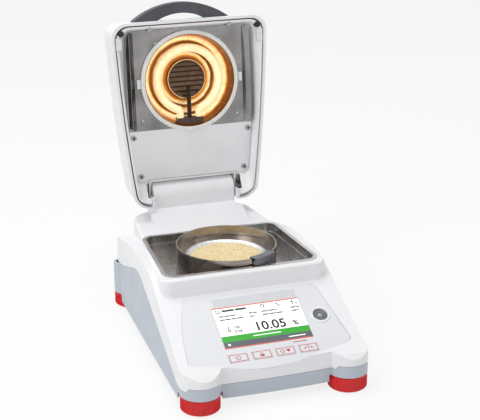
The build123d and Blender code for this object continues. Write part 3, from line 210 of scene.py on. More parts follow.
CERAMIC = surface("ceramic_white_ring", "#ECEBE8", 0.38, tint=(12, "#E2E0DC"),
                  wear=(8, 0.32, 0.46), relief=(0.7, 0.01))
ZINC = surface("zinc_plated_steel", "#A8AAAE", 0.3, 1.0, tint=(2, "#909398"),
               wear=(2, 0.24, 0.38), relief=(0.5, 0.01))
BRASS = surface("brass_turned", "#B5954A", 0.28, 1.0, tint=(3, "#A58540"),
                wear=(2, 0.22, 0.36), relief=(0.3, 0.006))
CAST_ALLOY = surface("aluminium_die_cast", "#9B9DA0", 0.46, 1.0, tint=(9, "#8C8E92"),
                     wear=(6, 0.4, 0.56), relief=(0.9, 0.03))
GRILLE_BROWN = surface("steel_heat_browned", "#6A5442", 0.4, 0.7, tint=(5, "#57432F"),
                       wear=(4, 0.34, 0.48), relief=(0.6, 0.01))
# Dark metal for the hexagon sockets of screws: painted shade standing for the recess.
SOCKET_PAINTED_SHADE = surface("screw_socket_painted_shade", "#3B3C3E", 0.5, 1.0, tint=(1, "#2E2F31"),
                      relief=(0.5, 0.01))
print("metals ready")

# %% [markdown]
# The lamp is a quartz ring with a glowing coil, so it gives light of its own. The circuit
# boards and the level's glass complete the list.

# %% Lamp, glass and electronics
LAMP_GLOW = surface("quartz_lamp_glowing", "#F3D6A0", 0.16, tint=(5, "#FFF0CF"),
                    relief=(1.2, 0.02), Emission_Color=linear("#FFDFA6"),
                    Emission_Strength=0.5, Coat_Weight=0.6)
CERAMIC_DARK = surface("steatite_holder", "#4A3A30", 0.6, tint=(4, "#3A2C24"),
                       wear=(3, 0.52, 0.7), relief=(0.8, 0.03))
BOARD = surface("circuit_board_green", "#1F5B3A", 0.42, tint=(3, "#2A6E47"),
                wear=(3, 0.36, 0.5), relief=(0.8, 0.02))
VIAL = surface("level_vial_glass", "#4A4F54", 0.06, tint=(5, "#7B8186"),
               relief=(4, 0.01), Coat_Weight=1.0, Coat_Roughness=0.03)
VIAL_RING = surface("level_ring_plated", "#E9E9EB", 0.22, 0.9, tint=(5, "#DCDCDF"),
                    wear=(4, 0.18, 0.3), relief=(0.6, 0.004))
BUBBLE = surface("level_bubble", "#8E9499", 0.06, tint=(2, "#A4AAAE"),
                 relief=(2, 0.01), Coat_Weight=0.8)
DISPLAY_GLASS = surface("display_glass_coated", "#C9CBCE", 0.16, tint=(40, "#C3C5C9"),
                        wear=(20, 0.12, 0.2), relief=(3, 0.003), Coat_Weight=0.4)


def lit(name, colour, strength=0.55):
    """Something drawn by the lit display: its own light plus a little reflection."""
    return surface(name, colour, 0.25, tint=(30, colour), relief=(2, 0.002),
                   Emission_Color=linear(colour), Emission_Strength=strength)


SCREEN_WHITE = lit("display_white", "#F7F9F6", 0.45)
SCREEN_INK = lit("display_ink", "#16191D", 0.05)
SCREEN_GREY = lit("display_grey_bar", "#5A6067", 0.12)
SCREEN_GREEN = lit("display_green_bar", "#2FA02A", 0.22)
SCREEN_RED = lit("display_red_line", "#D4553A", 0.3)
PRINT_RED = surface("screen_print_red", "#C9474A", 0.5, tint=(5, "#BE3F43"),
                    relief=(0.6, 0.004))
PRINT_GREY = surface("screen_print_grey", "#D3D5D8", 0.4, tint=(20, "#CED0D4"),
                     relief=(0.6, 0.004))
print("materials:", len(bpy.data.materials))

# %% [markdown]
# Every CAD node that stays gets its finish here. A dictionary keeps the whole bill of
# materials in one place, and a loop makes sure that no node is forgotten.

# %% Give every node its finish
CORNERS = ("front_left", "front_right", "rear_left", "rear_right")
FINISHES = {
    ABS_WHITE: ["upper_housing", "lid_shell", "lid_frame"],
    ABS_PANEL: ["console_panel"],
    ABS_GREY: ["lower_housing"],
    ABS_RED: ["foot_wheel_" + corner for corner in CORNERS],
    RUBBER: ["foot_pad_" + corner for corner in CORNERS]
            + ["lid_bumpers", "power_inlet", "data_sockets"],
    SOFT_GREY: ["lid_handle"],
    GRIP_GREY: ["handler_grip"],
    CLIP_WHITE: ["rim_clips"],
    KEY_FILM: ["key_1", "key_2", "key_3", "key_4"],
    STEEL_MIRROR: ["chamber_liner"],
    STEEL_LID: ["lid_liner"],
    STEEL_RING: ["pan_handler"],
    STEEL_SATIN: ["cover_plate", "pan_support", "load_pin"],
    SENSOR_STEEL: ["temp_sensor"],
    VIAL_RING: ["level_ring"],
    FOIL: ["sample_dish", "sample", "reflector"],
    CERAMIC: ["reflector_ring"],
    CERAMIC_DARK: ["lamp_holder"],
    LAMP_GLOW: ["halogen_lamp"],
    GRILLE_BROWN: ["vent_grille"],
    ZINC: ["foot_stud_" + corner for corner in CORNERS]
          + ["load_cell_screws", "board_screws", "chassis_screws", "frame_screws",
             "cover_screws", "hinge_shaft", "hinge_bracket", "hinge_arms"],
    BRASS: ["foot_inserts"],
    CAST_ALLOY: ["chassis", "load_cell"],
    BOARD: ["main_board", "power_board", "key_board", "display_module"],
    VIAL: ["level_vial"],
    DISPLAY_GLASS: ["display_glass"],
}
FINISH_OF = {node: finish for finish, names in FINISHES.items() for node in names}
for name, node in NODES.items():
    node.data.materials.clear()
    node.data.materials.append(FINISH_OF[name])
print("finished nodes:", len(FINISH_OF), "of", len(NODES))

# %% [markdown]
# Two helpers turn plain points into places on the instrument. The console is a plane tilted
# towards the user, and its middle is the middle of the display. The lid's pieces are easiest
# to think of with the lid shut, so a point of the shut lid is turned about the hinge.

# %% Places on the console and in the lid
TILT = math.radians(26.45)
CONSOLE_AT = Vector((1.5, -123.7, 62.66)) * MM
HINGE_AT = Vector((0.0, 116.9, 129.0)) * MM
LID_OPEN = math.radians(96.0)
CONSOLE = Matrix.Translation(CONSOLE_AT) @ Matrix.Rotation(TILT, 4, "X")
LID = (Matrix.Translation(HINGE_AT) @ Matrix.Rotation(-LID_OPEN, 4, "X")
       @ Matrix.Translation(-HINGE_AT))
UPRIGHT = Matrix.Identity(4)
glass_low, glass_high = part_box("display_glass")
print("display middle", [round((a + b) / 2 / MM, 1) for a, b in zip(glass_low, glass_high)])


def piece(name, mesh, material, body, replaced=(), smooth_deg=None):
    """Links a mesh as a finished piece that rides on a body."""
    mesh.materials.clear()
    mesh.materials.append(material)
    item = bpy.data.objects.new(name, mesh)
    mesh.name = name
    bpy.context.collection.objects.link(item)
    if smooth_deg is not None:
        mesh.polygons.foreach_set("use_smooth", [True] * len(mesh.polygons))
        mesh.set_sharp_from_angle(angle=math.radians(smooth_deg))
    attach(item, body)
    if replaced:
        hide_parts(*replaced)
    return item


def mesh_of(points, faces, place=UPRIGHT):
    """A mesh from points in millimetres, laid on a place."""
    mesh = bpy.data.meshes.new("mesh")
    mesh.from_pydata([place @ (Vector(p) * MM) for p in points], [], faces)
    mesh.validate()
    return mesh


def outward(mesh):
    """Merges points that fall together and turns every face outwards."""
    work = bmesh.new()
    work.from_mesh(mesh)
    bmesh.ops.remove_doubles(work, verts=work.verts, dist=0.001 * MM)
    bmesh.ops.recalc_face_normals(work, faces=work.faces)
    work.to_mesh(mesh)
    work.free()
    return mesh


# %% [markdown]
# Moulded plastic never has a sharp edge. The casing's nodes are copied, their loose
# triangles are merged and flat areas joined to single faces, and a bevel rounds every edge
# sharper than thirty degrees. The CAD node stays for collision and is hidden.

# %% Round the edges of the moulded casing
MERGE_MM = 0.004
FLAT_DEG, SHARP_DEG = 0.6, 35


def rounded(node, name, width_mm, material, angle_deg=30, segments=3):
    source = NODES[node]
    mesh = source.data.copy()
    mesh.transform(source.matrix_world)
    work = bmesh.new()
    work.from_mesh(mesh)
    bmesh.ops.remove_doubles(work, verts=work.verts, dist=MERGE_MM * MM)
    bmesh.ops.dissolve_limit(work, angle_limit=math.radians(FLAT_DEG), verts=work.verts,
                             edges=work.edges)
    work.to_mesh(mesh)
    work.free()
    item = piece(name, mesh, material, BODY_OF[node], [node])
    bevel = item.modifiers.new("rounded edges", "BEVEL")
    bevel.width = width_mm * MM
    bevel.segments = segments
    bevel.limit_method = "ANGLE"
    bevel.angle_limit = math.radians(angle_deg)
    mesh.polygons.foreach_set("use_smooth", [True] * len(mesh.polygons))
    mesh.set_sharp_from_angle(angle=math.radians(SHARP_DEG))
    print(name, "faces", len(mesh.polygons))


rounded("lid_handle", "lid_grip_bar", 2.2, SOFT_GREY, segments=4)
rounded("handler_grip", "handler_tab", 0.8, GRIP_GREY)
rounded("rim_clips", "rim_catches", 0.5, CLIP_WHITE)
rounded("lid_bumpers", "lid_buffers", 0.8, RUBBER)
rounded("upper_housing", "upper_casing", 1.0, ABS_WHITE)
rounded("lid_frame", "lid_inner_frame", 0.7, ABS_WHITE)
rounded("lower_housing", "lower_casing", 0.8, ABS_GREY)
rounded("console_panel", "console_cover", 0.5, ABS_PANEL)

# %% [markdown]
# Round pieces are turned from a profile, as on a lathe. The profile is a list of radius and
# height, and a ripple can push the radius or the height of any point around the circle. A
# full disc starts at a radius of nearly zero, which leaves no more than a pinhole.

# %% Turn a profile
AXIS_R = 0.01


def turned(profile, centre, place=UPRIGHT, segments=96, shift=None):
    """A closed ring of quads from a closed profile of (radius, height) in millimetres."""
    points, faces = [], []
    for step in range(segments):
        angle = 2 * math.pi * step / segments
        for index, (radius, height) in enumerate(profile):
            if shift:
                radius, height = shift(index, angle, radius, height)
            points.append((centre[0] + radius * math.cos(angle),
                           centre[1] + radius * math.sin(angle), height))
    count = len(profile)
    for step in range(segments):
        after = (step + 1) % segments
        for index in range(count):
            next_index = (index + 1) % count
            faces.append((step * count + index, after * count + index,
                          after * count + next_index, step * count + next_index))
    return outward(mesh_of(points, faces, place))


# %% [markdown]
# The sample dish is pressed from thin aluminium foil. The press gathers the foil at its
# rim, which leaves a row of small flutes that catch the light as a bright dashed ring. The
# flutes are a cosine ripple on the wall and rim, about 2.4 mm apart.

# %% Sample dish with a crimped rim
PAN = (0.0, -13.0)
DISH_FLOOR_Z, DISH_RIM_Z = 90.9, 97.8
FLUTES = 92
DISH_PROFILE = [(AXIS_R, DISH_FLOOR_Z), (36.0, DISH_FLOOR_Z), (38.4, DISH_FLOOR_Z + 0.2),
                (42.0, DISH_RIM_Z - 1.4), (42.9, DISH_RIM_Z - 0.5), (44.4, DISH_RIM_Z - 0.5),
                (44.9, DISH_RIM_Z - 0.2), (44.6, DISH_RIM_Z), (42.8, DISH_RIM_Z),
                (41.6, DISH_RIM_Z - 1.0), (37.8, DISH_FLOOR_Z + 0.7),
                (36.0, DISH_FLOOR_Z + 0.5), (AXIS_R, DISH_FLOOR_Z + 0.5)]
FLUTED = {3: 0.5, 4: 0.4, 8: 0.44, 9: 0.55, 10: 0.3}  # profile point: ripple in mm


def flutes(index, angle, radius, height):
    wave = math.cos(FLUTES * angle)
    return radius + FLUTED.get(index, 0.0) * wave, height


dish = piece("crimped_dish", turned(DISH_PROFILE, PAN, segments=FLUTES * 4, shift=flutes), FOIL,
             "dish", ["sample_dish"], smooth_deg=50)
print("dish flutes", FLUTES, "faces", len(dish.data.polygons))

# %% [markdown]
# The levelling wheels are turned with the fingers, so their rims carry upright ribs. One
# rib is modelled once, and Geometry Nodes stand copies of it around a circle. The tree has
# named inputs for the count and the size, so the same tree serves every wheel.

# %% A Geometry Nodes tree that stands ribs around a circle
def set_input(modifier, tree, name, value):
    item = next(i for i in tree.interface.items_tree
                if i.item_type == "SOCKET" and i.in_out == "INPUT" and i.name == name)
    modifier[item.identifier] = value


def new_tree(name, inputs):
    tree = bpy.data.node_groups.new(name, "GeometryNodeTree")
    tree.interface.new_socket("Geometry", in_out="INPUT", socket_type="NodeSocketGeometry")
    for label, kind in inputs:
        tree.interface.new_socket(label, in_out="INPUT", socket_type=kind)
    tree.interface.new_socket("Geometry", in_out="OUTPUT", socket_type="NodeSocketGeometry")
    return tree, tree.nodes.new("NodeGroupInput"), tree.nodes.new("NodeGroupOutput")


def finish_tree(tree, group_in, group_out, instances):
    """Every tree ends alike: instances made real, then given the material input."""
    real = add_node(tree, "GeometryNodeRealizeInstances", {"Geometry": instances})
    painted = add_node(tree, "GeometryNodeSetMaterial",
                       {"Geometry": real.outputs[0], "Material": group_in.outputs["Material"]})
    tree.links.new(painted.outputs[0], group_out.inputs["Geometry"])


def baked(tree, values, base=None):
    """Runs a tree on a mesh and hands back the result as a plain mesh."""
    holder = bpy.data.objects.new("holder", base or bpy.data.meshes.new("empty"))
    bpy.context.collection.objects.link(holder)
    modifier = holder.modifiers.new("nodes", "NODES")
    modifier.node_group = tree
    for name, value in values.items():
        set_input(modifier, tree, name, value)
    graph = bpy.context.evaluated_depsgraph_get()
    mesh = bpy.data.meshes.new_from_object(holder.evaluated_get(graph), depsgraph=graph)
    holder.modifiers.remove(modifier)
    bpy.data.objects.remove(holder)
    return mesh


def rib_tree():
    tree, group_in, group_out = new_tree("ribs around a wheel", [
        ("Count", "NodeSocketInt"), ("Radius", "NodeSocketFloat"),
        ("Rib", "NodeSocketVector"), ("Material", "NodeSocketMaterial")])
    circle = add_node(tree, "GeometryNodeMeshCircle",
                      {"Vertices": group_in.outputs["Count"],
                       "Radius": group_in.outputs["Radius"]})
    rib = add_node(tree, "GeometryNodeMeshCylinder",
                   {"Vertices": 6, "Radius": 1.0, "Depth": 1.0})
    sized = add_node(tree, "GeometryNodeTransform",
                     {"Geometry": rib.outputs["Mesh"], "Scale": group_in.outputs["Rib"]})
    place = add_node(tree, "GeometryNodeInputPosition")
    turn = add_node(tree, "FunctionNodeAlignEulerToVector", {"Vector": place.outputs[0]},
                    axis="X")
    stand = add_node(tree, "GeometryNodeInstanceOnPoints",
                     {"Points": circle.outputs["Mesh"], "Instance": sized.outputs["Geometry"],
                      "Rotation": turn.outputs["Rotation"]})
    finish_tree(tree, group_in, group_out, stand.outputs["Instances"])
    return tree


RIB_TREE = rib_tree()
print("tree:", RIB_TREE.name)

# %% [markdown]
# Each wheel is a turned disc with a rounded shoulder and a plain band at its top, and the
# ribs cover the band below it. The disc and its ribs are joined into one mesh per wheel,
# because each wheel rides on a body of its own.

# %% Knurled levelling wheels
WHEEL_RIBS = 44
WHEEL_R, WHEEL_LOW, WHEEL_HIGH = 19.5, 1.0, 16.9
PAD_SEAT_R, STUD_HOLE_R, PAD_SEAT_Z = 11.4, 4.0, 4.3
RIB_LOW, RIB_HIGH = 2.2, 14.4
RIB = (0.75, 0.8, RIB_HIGH - RIB_LOW)
WHEEL_PROFILE = [(PAD_SEAT_R, WHEEL_LOW), (18.6, WHEEL_LOW), (19.3, WHEEL_LOW + 0.6),
                 (WHEEL_R, WHEEL_LOW + 1.2), (WHEEL_R, 14.2), (19.9, 14.6), (20.1, 15.2),
                 (19.9, 16.2), (19.0, WHEEL_HIGH), (STUD_HOLE_R, WHEEL_HIGH),
                 (STUD_HOLE_R, PAD_SEAT_Z), (PAD_SEAT_R, PAD_SEAT_Z)]


def joined(meshes):
    """Several meshes as one, in one material."""
    work = bmesh.new()
    for mesh in meshes:
        work.from_mesh(mesh)
    result = bpy.data.meshes.new("joined")
    work.to_mesh(result)
    work.free()
    return result


for corner in CORNERS:
    node = "foot_wheel_" + corner
    low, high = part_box(node)
    middle = [(low[i] + high[i]) / 2 / MM for i in (0, 1)]
    disc = turned(WHEEL_PROFILE, middle, segments=88)
    ribs = baked(RIB_TREE, {"Count": WHEEL_RIBS, "Radius": WHEEL_R * MM,
                            "Rib": [size * MM for size in RIB], "Material": ABS_RED})
    ribs.transform(Matrix.Translation(Vector((*middle, (RIB_LOW + RIB_HIGH) / 2)) * MM))
    piece("knurled_wheel_" + corner, joined([disc, ribs]), ABS_RED, BODY_OF[node], [node],
          smooth_deg=40)
print("ribs per wheel", WHEEL_RIBS)

# %% [markdown]
# The sample is a pale, granular powder. A low heap fills the dish, and Geometry Nodes
# scatter small many-sided grains over its top, each turned and sized by a fixed seed.

# %% Granular sample
SAMPLE_R = 39.4
SKIRT_R = 37.4
SAMPLE_TOP_Z = 96.2
GRAIN_MM, GRAIN_SPACING, GRAIN_DENSITY, GRAIN_SEED = 0.62, 0.95, 2.2e6, 7


def heap_mesh():
    rings, steps = 26, 90
    points, faces = [(PAN[0], PAN[1], SAMPLE_TOP_Z + 0.4)], []
    for ring in range(1, rings + 1):
        radius = SAMPLE_R * ring / rings
        for step in range(steps):
            angle = 2 * math.pi * step / steps
            x, y = radius * math.cos(angle), radius * math.sin(angle)
            swell = 0.35 * math.sin(x * 0.21 + 1.0) * math.cos(y * 0.17) \
                + 0.2 * math.sin(x * 0.53) * math.sin(y * 0.47 + 0.6)
            edge = -0.9 * max(0.0, radius / SAMPLE_R - 0.9) / 0.1
            points.append((PAN[0] + x, PAN[1] + y, SAMPLE_TOP_Z + swell + edge))
    for step in range(steps):
        faces.append((0, 1 + step, 1 + (step + 1) % steps))
    for ring in range(1, rings):
        for step in range(steps):
            a, b = 1 + (ring - 1) * steps + step, 1 + (ring - 1) * steps + (step + 1) % steps
            faces.append((a, a + steps, b + steps, b))
    rim = len(points) - steps
    floor = len(points)
    inward = SKIRT_R / SAMPLE_R
    points += [(PAN[0] + (x - PAN[0]) * inward, PAN[1] + (y - PAN[1]) * inward,
                DISH_FLOOR_Z + 0.6) for x, y, _ in points[rim:floor]]
    for step in range(steps):
        after = (step + 1) % steps
        faces.append((rim + step, floor + step, floor + after, rim + after))
    faces.append(tuple(floor + step for step in reversed(range(steps))))
    return mesh_of(points, faces)


def grain_tree():
    tree, group_in, group_out = new_tree("grains on a heap", [
        ("Spacing", "NodeSocketFloat"), ("Grain", "NodeSocketFloat"),
        ("Seed", "NodeSocketInt"), ("Material", "NodeSocketMaterial")])
    normal = add_node(tree, "GeometryNodeInputNormal")
    parts = add_node(tree, "ShaderNodeSeparateXYZ", {"Vector": normal.outputs[0]})
    upward = add_node(tree, "FunctionNodeCompare", {0: parts.outputs["Z"], 1: 0.6},
                      operation="GREATER_THAN")
    scatter = add_node(tree, "GeometryNodeDistributePointsOnFaces",
                       {"Mesh": group_in.outputs["Geometry"],
                        "Selection": upward.outputs["Result"],
                        "Distance Min": group_in.outputs["Spacing"],
                        "Density Max": GRAIN_DENSITY,
                        "Seed": group_in.outputs["Seed"]}, distribute_method="POISSON")
    grain = add_node(tree, "GeometryNodeMeshIcoSphere",
                     {"Radius": group_in.outputs["Grain"], "Subdivisions": 1})
    turn = add_node(tree, "FunctionNodeRandomValue",
                    {"Min": (0.0, 0.0, 0.0), "Max": (6.28, 6.28, 6.28),
                     "Seed": group_in.outputs["Seed"]}, data_type="FLOAT_VECTOR")
    size = add_node(tree, "FunctionNodeRandomValue",
                    {"Min": (0.7, 0.6, 0.5), "Max": (1.35, 1.2, 1.0),
                     "Seed": group_in.outputs["Seed"]}, data_type="FLOAT_VECTOR")
    stand = add_node(tree, "GeometryNodeInstanceOnPoints",
                     {"Points": scatter.outputs["Points"], "Instance": grain.outputs["Mesh"],
                      "Rotation": turn.outputs["Value"], "Scale": size.outputs["Value"]})
    finish_tree(tree, group_in, group_out, stand.outputs["Instances"])
    return tree


GRAINS = surface("powder_pale_yellow", "#FBF1D2", 0.85, tint=(1.8, "#E3C98A"),
                 wear=(2, 0.78, 0.92), relief=(0.7, 0.05))
heap = heap_mesh()
grains = baked(grain_tree(), {"Spacing": GRAIN_SPACING * MM, "Grain": GRAIN_MM * MM,
                              "Seed": GRAIN_SEED, "Material": GRAINS}, base=heap.copy())
sample = piece("granular_sample", joined([heap, grains]), GRAINS, "dish", ["sample"],
               smooth_deg=35)
print("sample faces", len(sample.data.polygons))

# %% [markdown]
# Gold plating over steel returns infrared best. The lamp in front of it shows again and
# again in its troughs, as bright cream bands with bronze lines between them. These
# reflections are painted: the finish turns the place on the metal into a radius from the
# lamp's axis, and a colour ramp over that radius lays the painted reflection bands. The bands
# also glow a little, though the reflector is no lamp. Thin darker ticks of painted shade mark
# the flats of the spinning former, where the lamp's reflection breaks.

# %% Gilded finish with painted reflections of the lamp
# Radius in mm and colour of each band: painted reflections of the lamp, with bronze between
# them.
LAMP_REFLECTION_BANDS = [(21, "#4A2C14"), (23.4, "#6E421C"), (24.6, "#A87038"), (26.2, "#C08A4C"),
         (27.4, "#F0CF98"), (29.4, "#F6DDB0"), (30.4, "#8A5526"), (31.4, "#5E3816"),
         (33.0, "#9A6430"), (34.4, "#EBC78C"), (38.0, "#F8E2B8"), (39.6, "#8C5424"),
         (41.2, "#6E4018"), (42.6, "#B4793A"), (44.0, "#F7DFB2"), (47.4, "#FFF1D6"),
         (48.8, "#C68E4A"), (50.2, "#7E4C20"), (52.4, "#5C3716")]
REFLECTION_FROM, REFLECTION_TO, REFLECTION_DRIFT = 20.0, 54.0, 0.9
# Darker ticks are painted shade, where the flats break the lamp's painted reflection.
SHADE_TICKS, SHADE_TICK_SHARE, SHADE_TICK_DEPTH, SHADE_TICK_COLOUR = 15, 0.05, 0.45, "#A36A30"
# The banded colour also glows at this strength: a painted glow, though the reflector is no
# lamp.
PAINTED_REFLECTION_GLOW = 0.5
MIX_FIRST, MIX_SECOND, MIX_RESULT = 6, 7, 2  # the colour sockets of a Mix node


def gilded_with_painted_reflections():
    material = surface("gilded_reflector_painted_reflections", "#D9A257", 0.3, 1.0)
    tree = material.node_tree
    shader = tree.nodes["Principled BSDF"]
    where = add_node(tree, "ShaderNodeTexCoord")
    centre = LID @ (Vector((PAN[0], PAN[1], 0.0)) * MM)
    flat = add_node(tree, "ShaderNodeMapping",
                    {"Vector": where.outputs["Object"], "Location": centre,
                     "Rotation": (-LID_OPEN, 0.0, 0.0)}, vector_type="TEXTURE")
    level = add_node(tree, "ShaderNodeVectorMath",
                     {0: flat.outputs["Vector"], 1: (1.0, 1.0, 0.0)}, operation="MULTIPLY")
    radius = add_node(tree, "ShaderNodeVectorMath", {0: level.outputs[0]}, operation="LENGTH")
    wander = noise(tree, 9, detail=2.0)
    drift = add_node(tree, "ShaderNodeMapRange",
                     {"Value": wander.outputs["Fac"], "To Min": -REFLECTION_DRIFT * MM,
                      "To Max": REFLECTION_DRIFT * MM})
    moved = maths(tree, "ADD", radius.outputs["Value"], drift.outputs["Result"])
    share = add_node(tree, "ShaderNodeMapRange",
                     {"Value": moved, "From Min": REFLECTION_FROM * MM, "From Max": REFLECTION_TO * MM})
    ramp = add_node(tree, "ShaderNodeValToRGB", {"Fac": share.outputs["Result"]})
    stops = ramp.color_ramp.elements
    for index, (at, colour) in enumerate(LAMP_REFLECTION_BANDS):
        place = (at - REFLECTION_FROM) / (REFLECTION_TO - REFLECTION_FROM)
        stop = stops[index] if index < 2 else stops.new(place)
        stop.position = place
        stop.color = linear(colour)
    around = add_node(tree, "ShaderNodeTexGradient", {"Vector": level.outputs[0]},
                      gradient_type="RADIAL")
    part = maths(tree, "FRACT", maths(tree, "MULTIPLY", around.outputs["Fac"], float(SHADE_TICKS)))
    shade_tick = maths(tree, "MULTIPLY", maths(tree, "LESS_THAN", part, SHADE_TICK_SHARE), SHADE_TICK_DEPTH)
    painted_colour = add_node(tree, "ShaderNodeMix",
                      {"Factor": shade_tick, MIX_FIRST: ramp.outputs["Color"],
                       MIX_SECOND: linear(SHADE_TICK_COLOUR)}, data_type="RGBA")
    # The banded colour feeds both the base colour and the emission, so the painted reflections
    # glow.
    for socket in ("Base Color", "Emission Color"):
        tree.links.new(painted_colour.outputs[MIX_RESULT], shader.inputs[socket])
    shader.inputs["Emission Strength"].default_value = PAINTED_REFLECTION_GLOW
    return material


GOLD_PAINTED_REFLECTIONS = gilded_with_painted_reflections()
print("bands", len(LAMP_REFLECTION_BANDS))

# %% [markdown]
# The gilded reflector is spun over a former in two troughs around the lamp. Small flats
# around it break the lamp's image into short bright dashes, so it is turned with few steps
# and left flat-sided around the circle. The louvre in its middle has tilted slats.

# %% Gilded reflector with flats
REFLECTOR_FLATS = 60
REFLECTOR_PROFILE = [(51.9, 112.8), (51.3, 118.0), (50.6, 124.0), (49.0, 129.0), (46.5, 132.0),
                     (43.4, 133.4), (40.2, 132.2), (37.8, 129.6), (36.0, 126.6), (34.2, 129.4),
                     (31.8, 132.2), (29.0, 133.6), (26.0, 132.6), (23.8, 130.2), (22.3, 127.6),
                     (22.3, 128.6), (25.8, 133.6), (29.0, 134.6), (32.2, 133.4), (36.0, 128.4),
                     (39.8, 133.2), (43.4, 134.4), (47.0, 133.0), (50.2, 129.6), (51.4, 124.2),
                     (52.0, 118.0), (52.2, 112.8)]
piece("gilded_troughs", turned(REFLECTOR_PROFILE, PAN, LID, REFLECTOR_FLATS), GOLD_PAINTED_REFLECTIONS, "lid",
      ["reflector"])
print("reflector flats", REFLECTOR_FLATS)

# %% [markdown]
# The louvre over the air outlet repeats one slat. Geometry Nodes set slats on a line, and
# each is as long as the round opening is wide where it stands.

# %% Louvre slats by Geometry Nodes
def slat_tree():
    tree, group_in, group_out = new_tree("slats in a round opening", [
        ("Count", "NodeSocketInt"), ("Pitch", "NodeSocketFloat"),
        ("Radius", "NodeSocketFloat"), ("Slat", "NodeSocketVector"),
        ("Tilt", "NodeSocketFloat"), ("Material", "NodeSocketMaterial")])
    count, pitch, radius = (group_in.outputs[name] for name in ("Count", "Pitch", "Radius"))
    span = maths(tree, "MULTIPLY", maths(tree, "SUBTRACT", count, 1.0), pitch)
    start = add_node(tree, "ShaderNodeCombineXYZ", {"Y": maths(tree, "MULTIPLY", span, -0.5)})
    stride = add_node(tree, "ShaderNodeCombineXYZ", {"Y": pitch})
    line = add_node(tree, "GeometryNodeMeshLine",
                    {"Count": count, "Start Location": start.outputs[0],
                     "Offset": stride.outputs[0]})
    slat = add_node(tree, "GeometryNodeMeshCube", {"Size": group_in.outputs["Slat"]})
    lean = add_node(tree, "ShaderNodeCombineXYZ", {"X": group_in.outputs["Tilt"]})
    tilted = add_node(tree, "GeometryNodeTransform",
                      {"Geometry": slat.outputs["Mesh"], "Rotation": lean.outputs[0]})
    place = add_node(tree, "GeometryNodeInputPosition")
    parts = add_node(tree, "ShaderNodeSeparateXYZ", {"Vector": place.outputs[0]})
    ratio = maths(tree, "DIVIDE", parts.outputs["Y"], radius)
    left = maths(tree, "SUBTRACT", 1.0, maths(tree, "MULTIPLY", ratio, ratio))
    half_chord = maths(tree, "MULTIPLY", maths(tree, "SQRT", left), radius)
    scale = add_node(tree, "ShaderNodeCombineXYZ", {"X": half_chord, "Y": 1.0, "Z": 1.0})
    stand = add_node(tree, "GeometryNodeInstanceOnPoints",
                     {"Points": line.outputs["Mesh"], "Instance": tilted.outputs["Geometry"],
                      "Scale": scale.outputs[0]})
    finish_tree(tree, group_in, group_out, stand.outputs["Instances"])
    return tree


def ring_profile(inner, outer, low, high):
    return [(inner, low), (outer, low), (outer, high), (inner, high)]


GRILLE_R, GRILLE_BORE_R, GRILLE_Z, GRILLE_TOP_Z = 21.7, 20.0, 128.0, 130.0
SLATS, SLAT_PITCH, SLAT_REACH, SLAT_TILT = 7, 5.6, 20.4, math.radians(-26)
SLAT = (2.0, 4.2 * MM, 0.6 * MM)  # the first is a share of the half chord
slats = baked(slat_tree(), {"Count": SLATS, "Pitch": SLAT_PITCH * MM,
                            "Radius": SLAT_REACH * MM, "Slat": SLAT, "Tilt": SLAT_TILT,
                            "Material": GRILLE_BROWN})
slats.transform(LID @ Matrix.Translation(Vector((*PAN, (GRILLE_Z + GRILLE_TOP_Z) / 2)) * MM))
rim = turned(ring_profile(GRILLE_BORE_R, GRILLE_R, GRILLE_Z, GRILLE_TOP_Z), PAN, LID, 72)
# A dark disc over the back of the bore is painted shade: it stands for the shade inside the air
# outlet behind the slats.
painted_shade_disc = turned(ring_profile(AXIS_R, GRILLE_BORE_R + 0.6, GRILLE_TOP_Z, GRILLE_TOP_Z + 0.4),
                 PAN, LID, 48)
piece("outlet_louvre", joined([slats, rim]), GRILLE_BROWN, "lid", ["vent_grille"],
      smooth_deg=30)
piece("outlet_painted_shade", painted_shade_disc, SENSOR_STEEL, "lid")
# The thin amber ring at the outlet's edge glows though it is no lamp: a painted highlight of
# the lamp on the gilded edge.
AMBER_PAINTED_GLINT = surface("gilded_edge_painted_glint", "#F0BE7C", 0.2, 1.0, tint=(8, "#FFE0AE"), relief=(1, 0.01),
                Emission_Color=linear("#E9B06A"), Emission_Strength=0.5)
piece("outlet_edge_painted_glint", turned(ring_profile(21.75, 22.25, 126.9, 127.6), PAN, LID, 72), AMBER_PAINTED_GLINT,
      "lid")
print("louvre slats", SLATS)

# %% [markdown]
# The display and the keys are drawn from flat strokes, laid as thin films on the console.
# A stroke is a line of given width; a frame is four of them; numbers come from a font and
# are turned into meshes before they are laid down. Nothing on it is a name or a word. Each
# film floats a hair's breadth over what it is laid on, so their faces never fall together.

# %% Strokes and numbers for films
FILM_MM, FILM_GAP = 0.1, 0.02
INK_Z = FILM_GAP + FILM_MM
BOLDER = 0.022  # widens the font's strokes, as a share of the size


def slab(outline, height_mm, place, thick=FILM_MM):
    """A flat outline in millimetres as a thin closed film."""
    count = len(outline)
    points = [(x, y, height_mm) for x, y in outline]
    points += [(x, y, height_mm + thick) for x, y in outline]
    faces = [tuple(reversed(range(count))), tuple(range(count, 2 * count))]
    faces += [(i, (i + 1) % count, count + (i + 1) % count, count + i) for i in range(count)]
    return mesh_of(points, faces, place)


def box_outline(x, y, w, h):
    return [(x, y), (x + w, y), (x + w, y + h), (x, y + h)]


def stroke(a, b, width):
    along = (Vector(b) - Vector(a)).normalized() * width / 2
    side = Vector((-along.y, along.x))
    a, b = Vector(a) - along, Vector(b) + along
    return [tuple(a - side), tuple(b - side), tuple(b + side), tuple(a + side)]


def closed_line(corners, width):
    return [stroke(a, b, width) for a, b in zip(corners, corners[1:] + corners[:1])]


def frame_strokes(x, y, w, h, width):
    """The four sides of a rectangle, drawn as strokes."""
    return closed_line(box_outline(x, y, w, h), width)


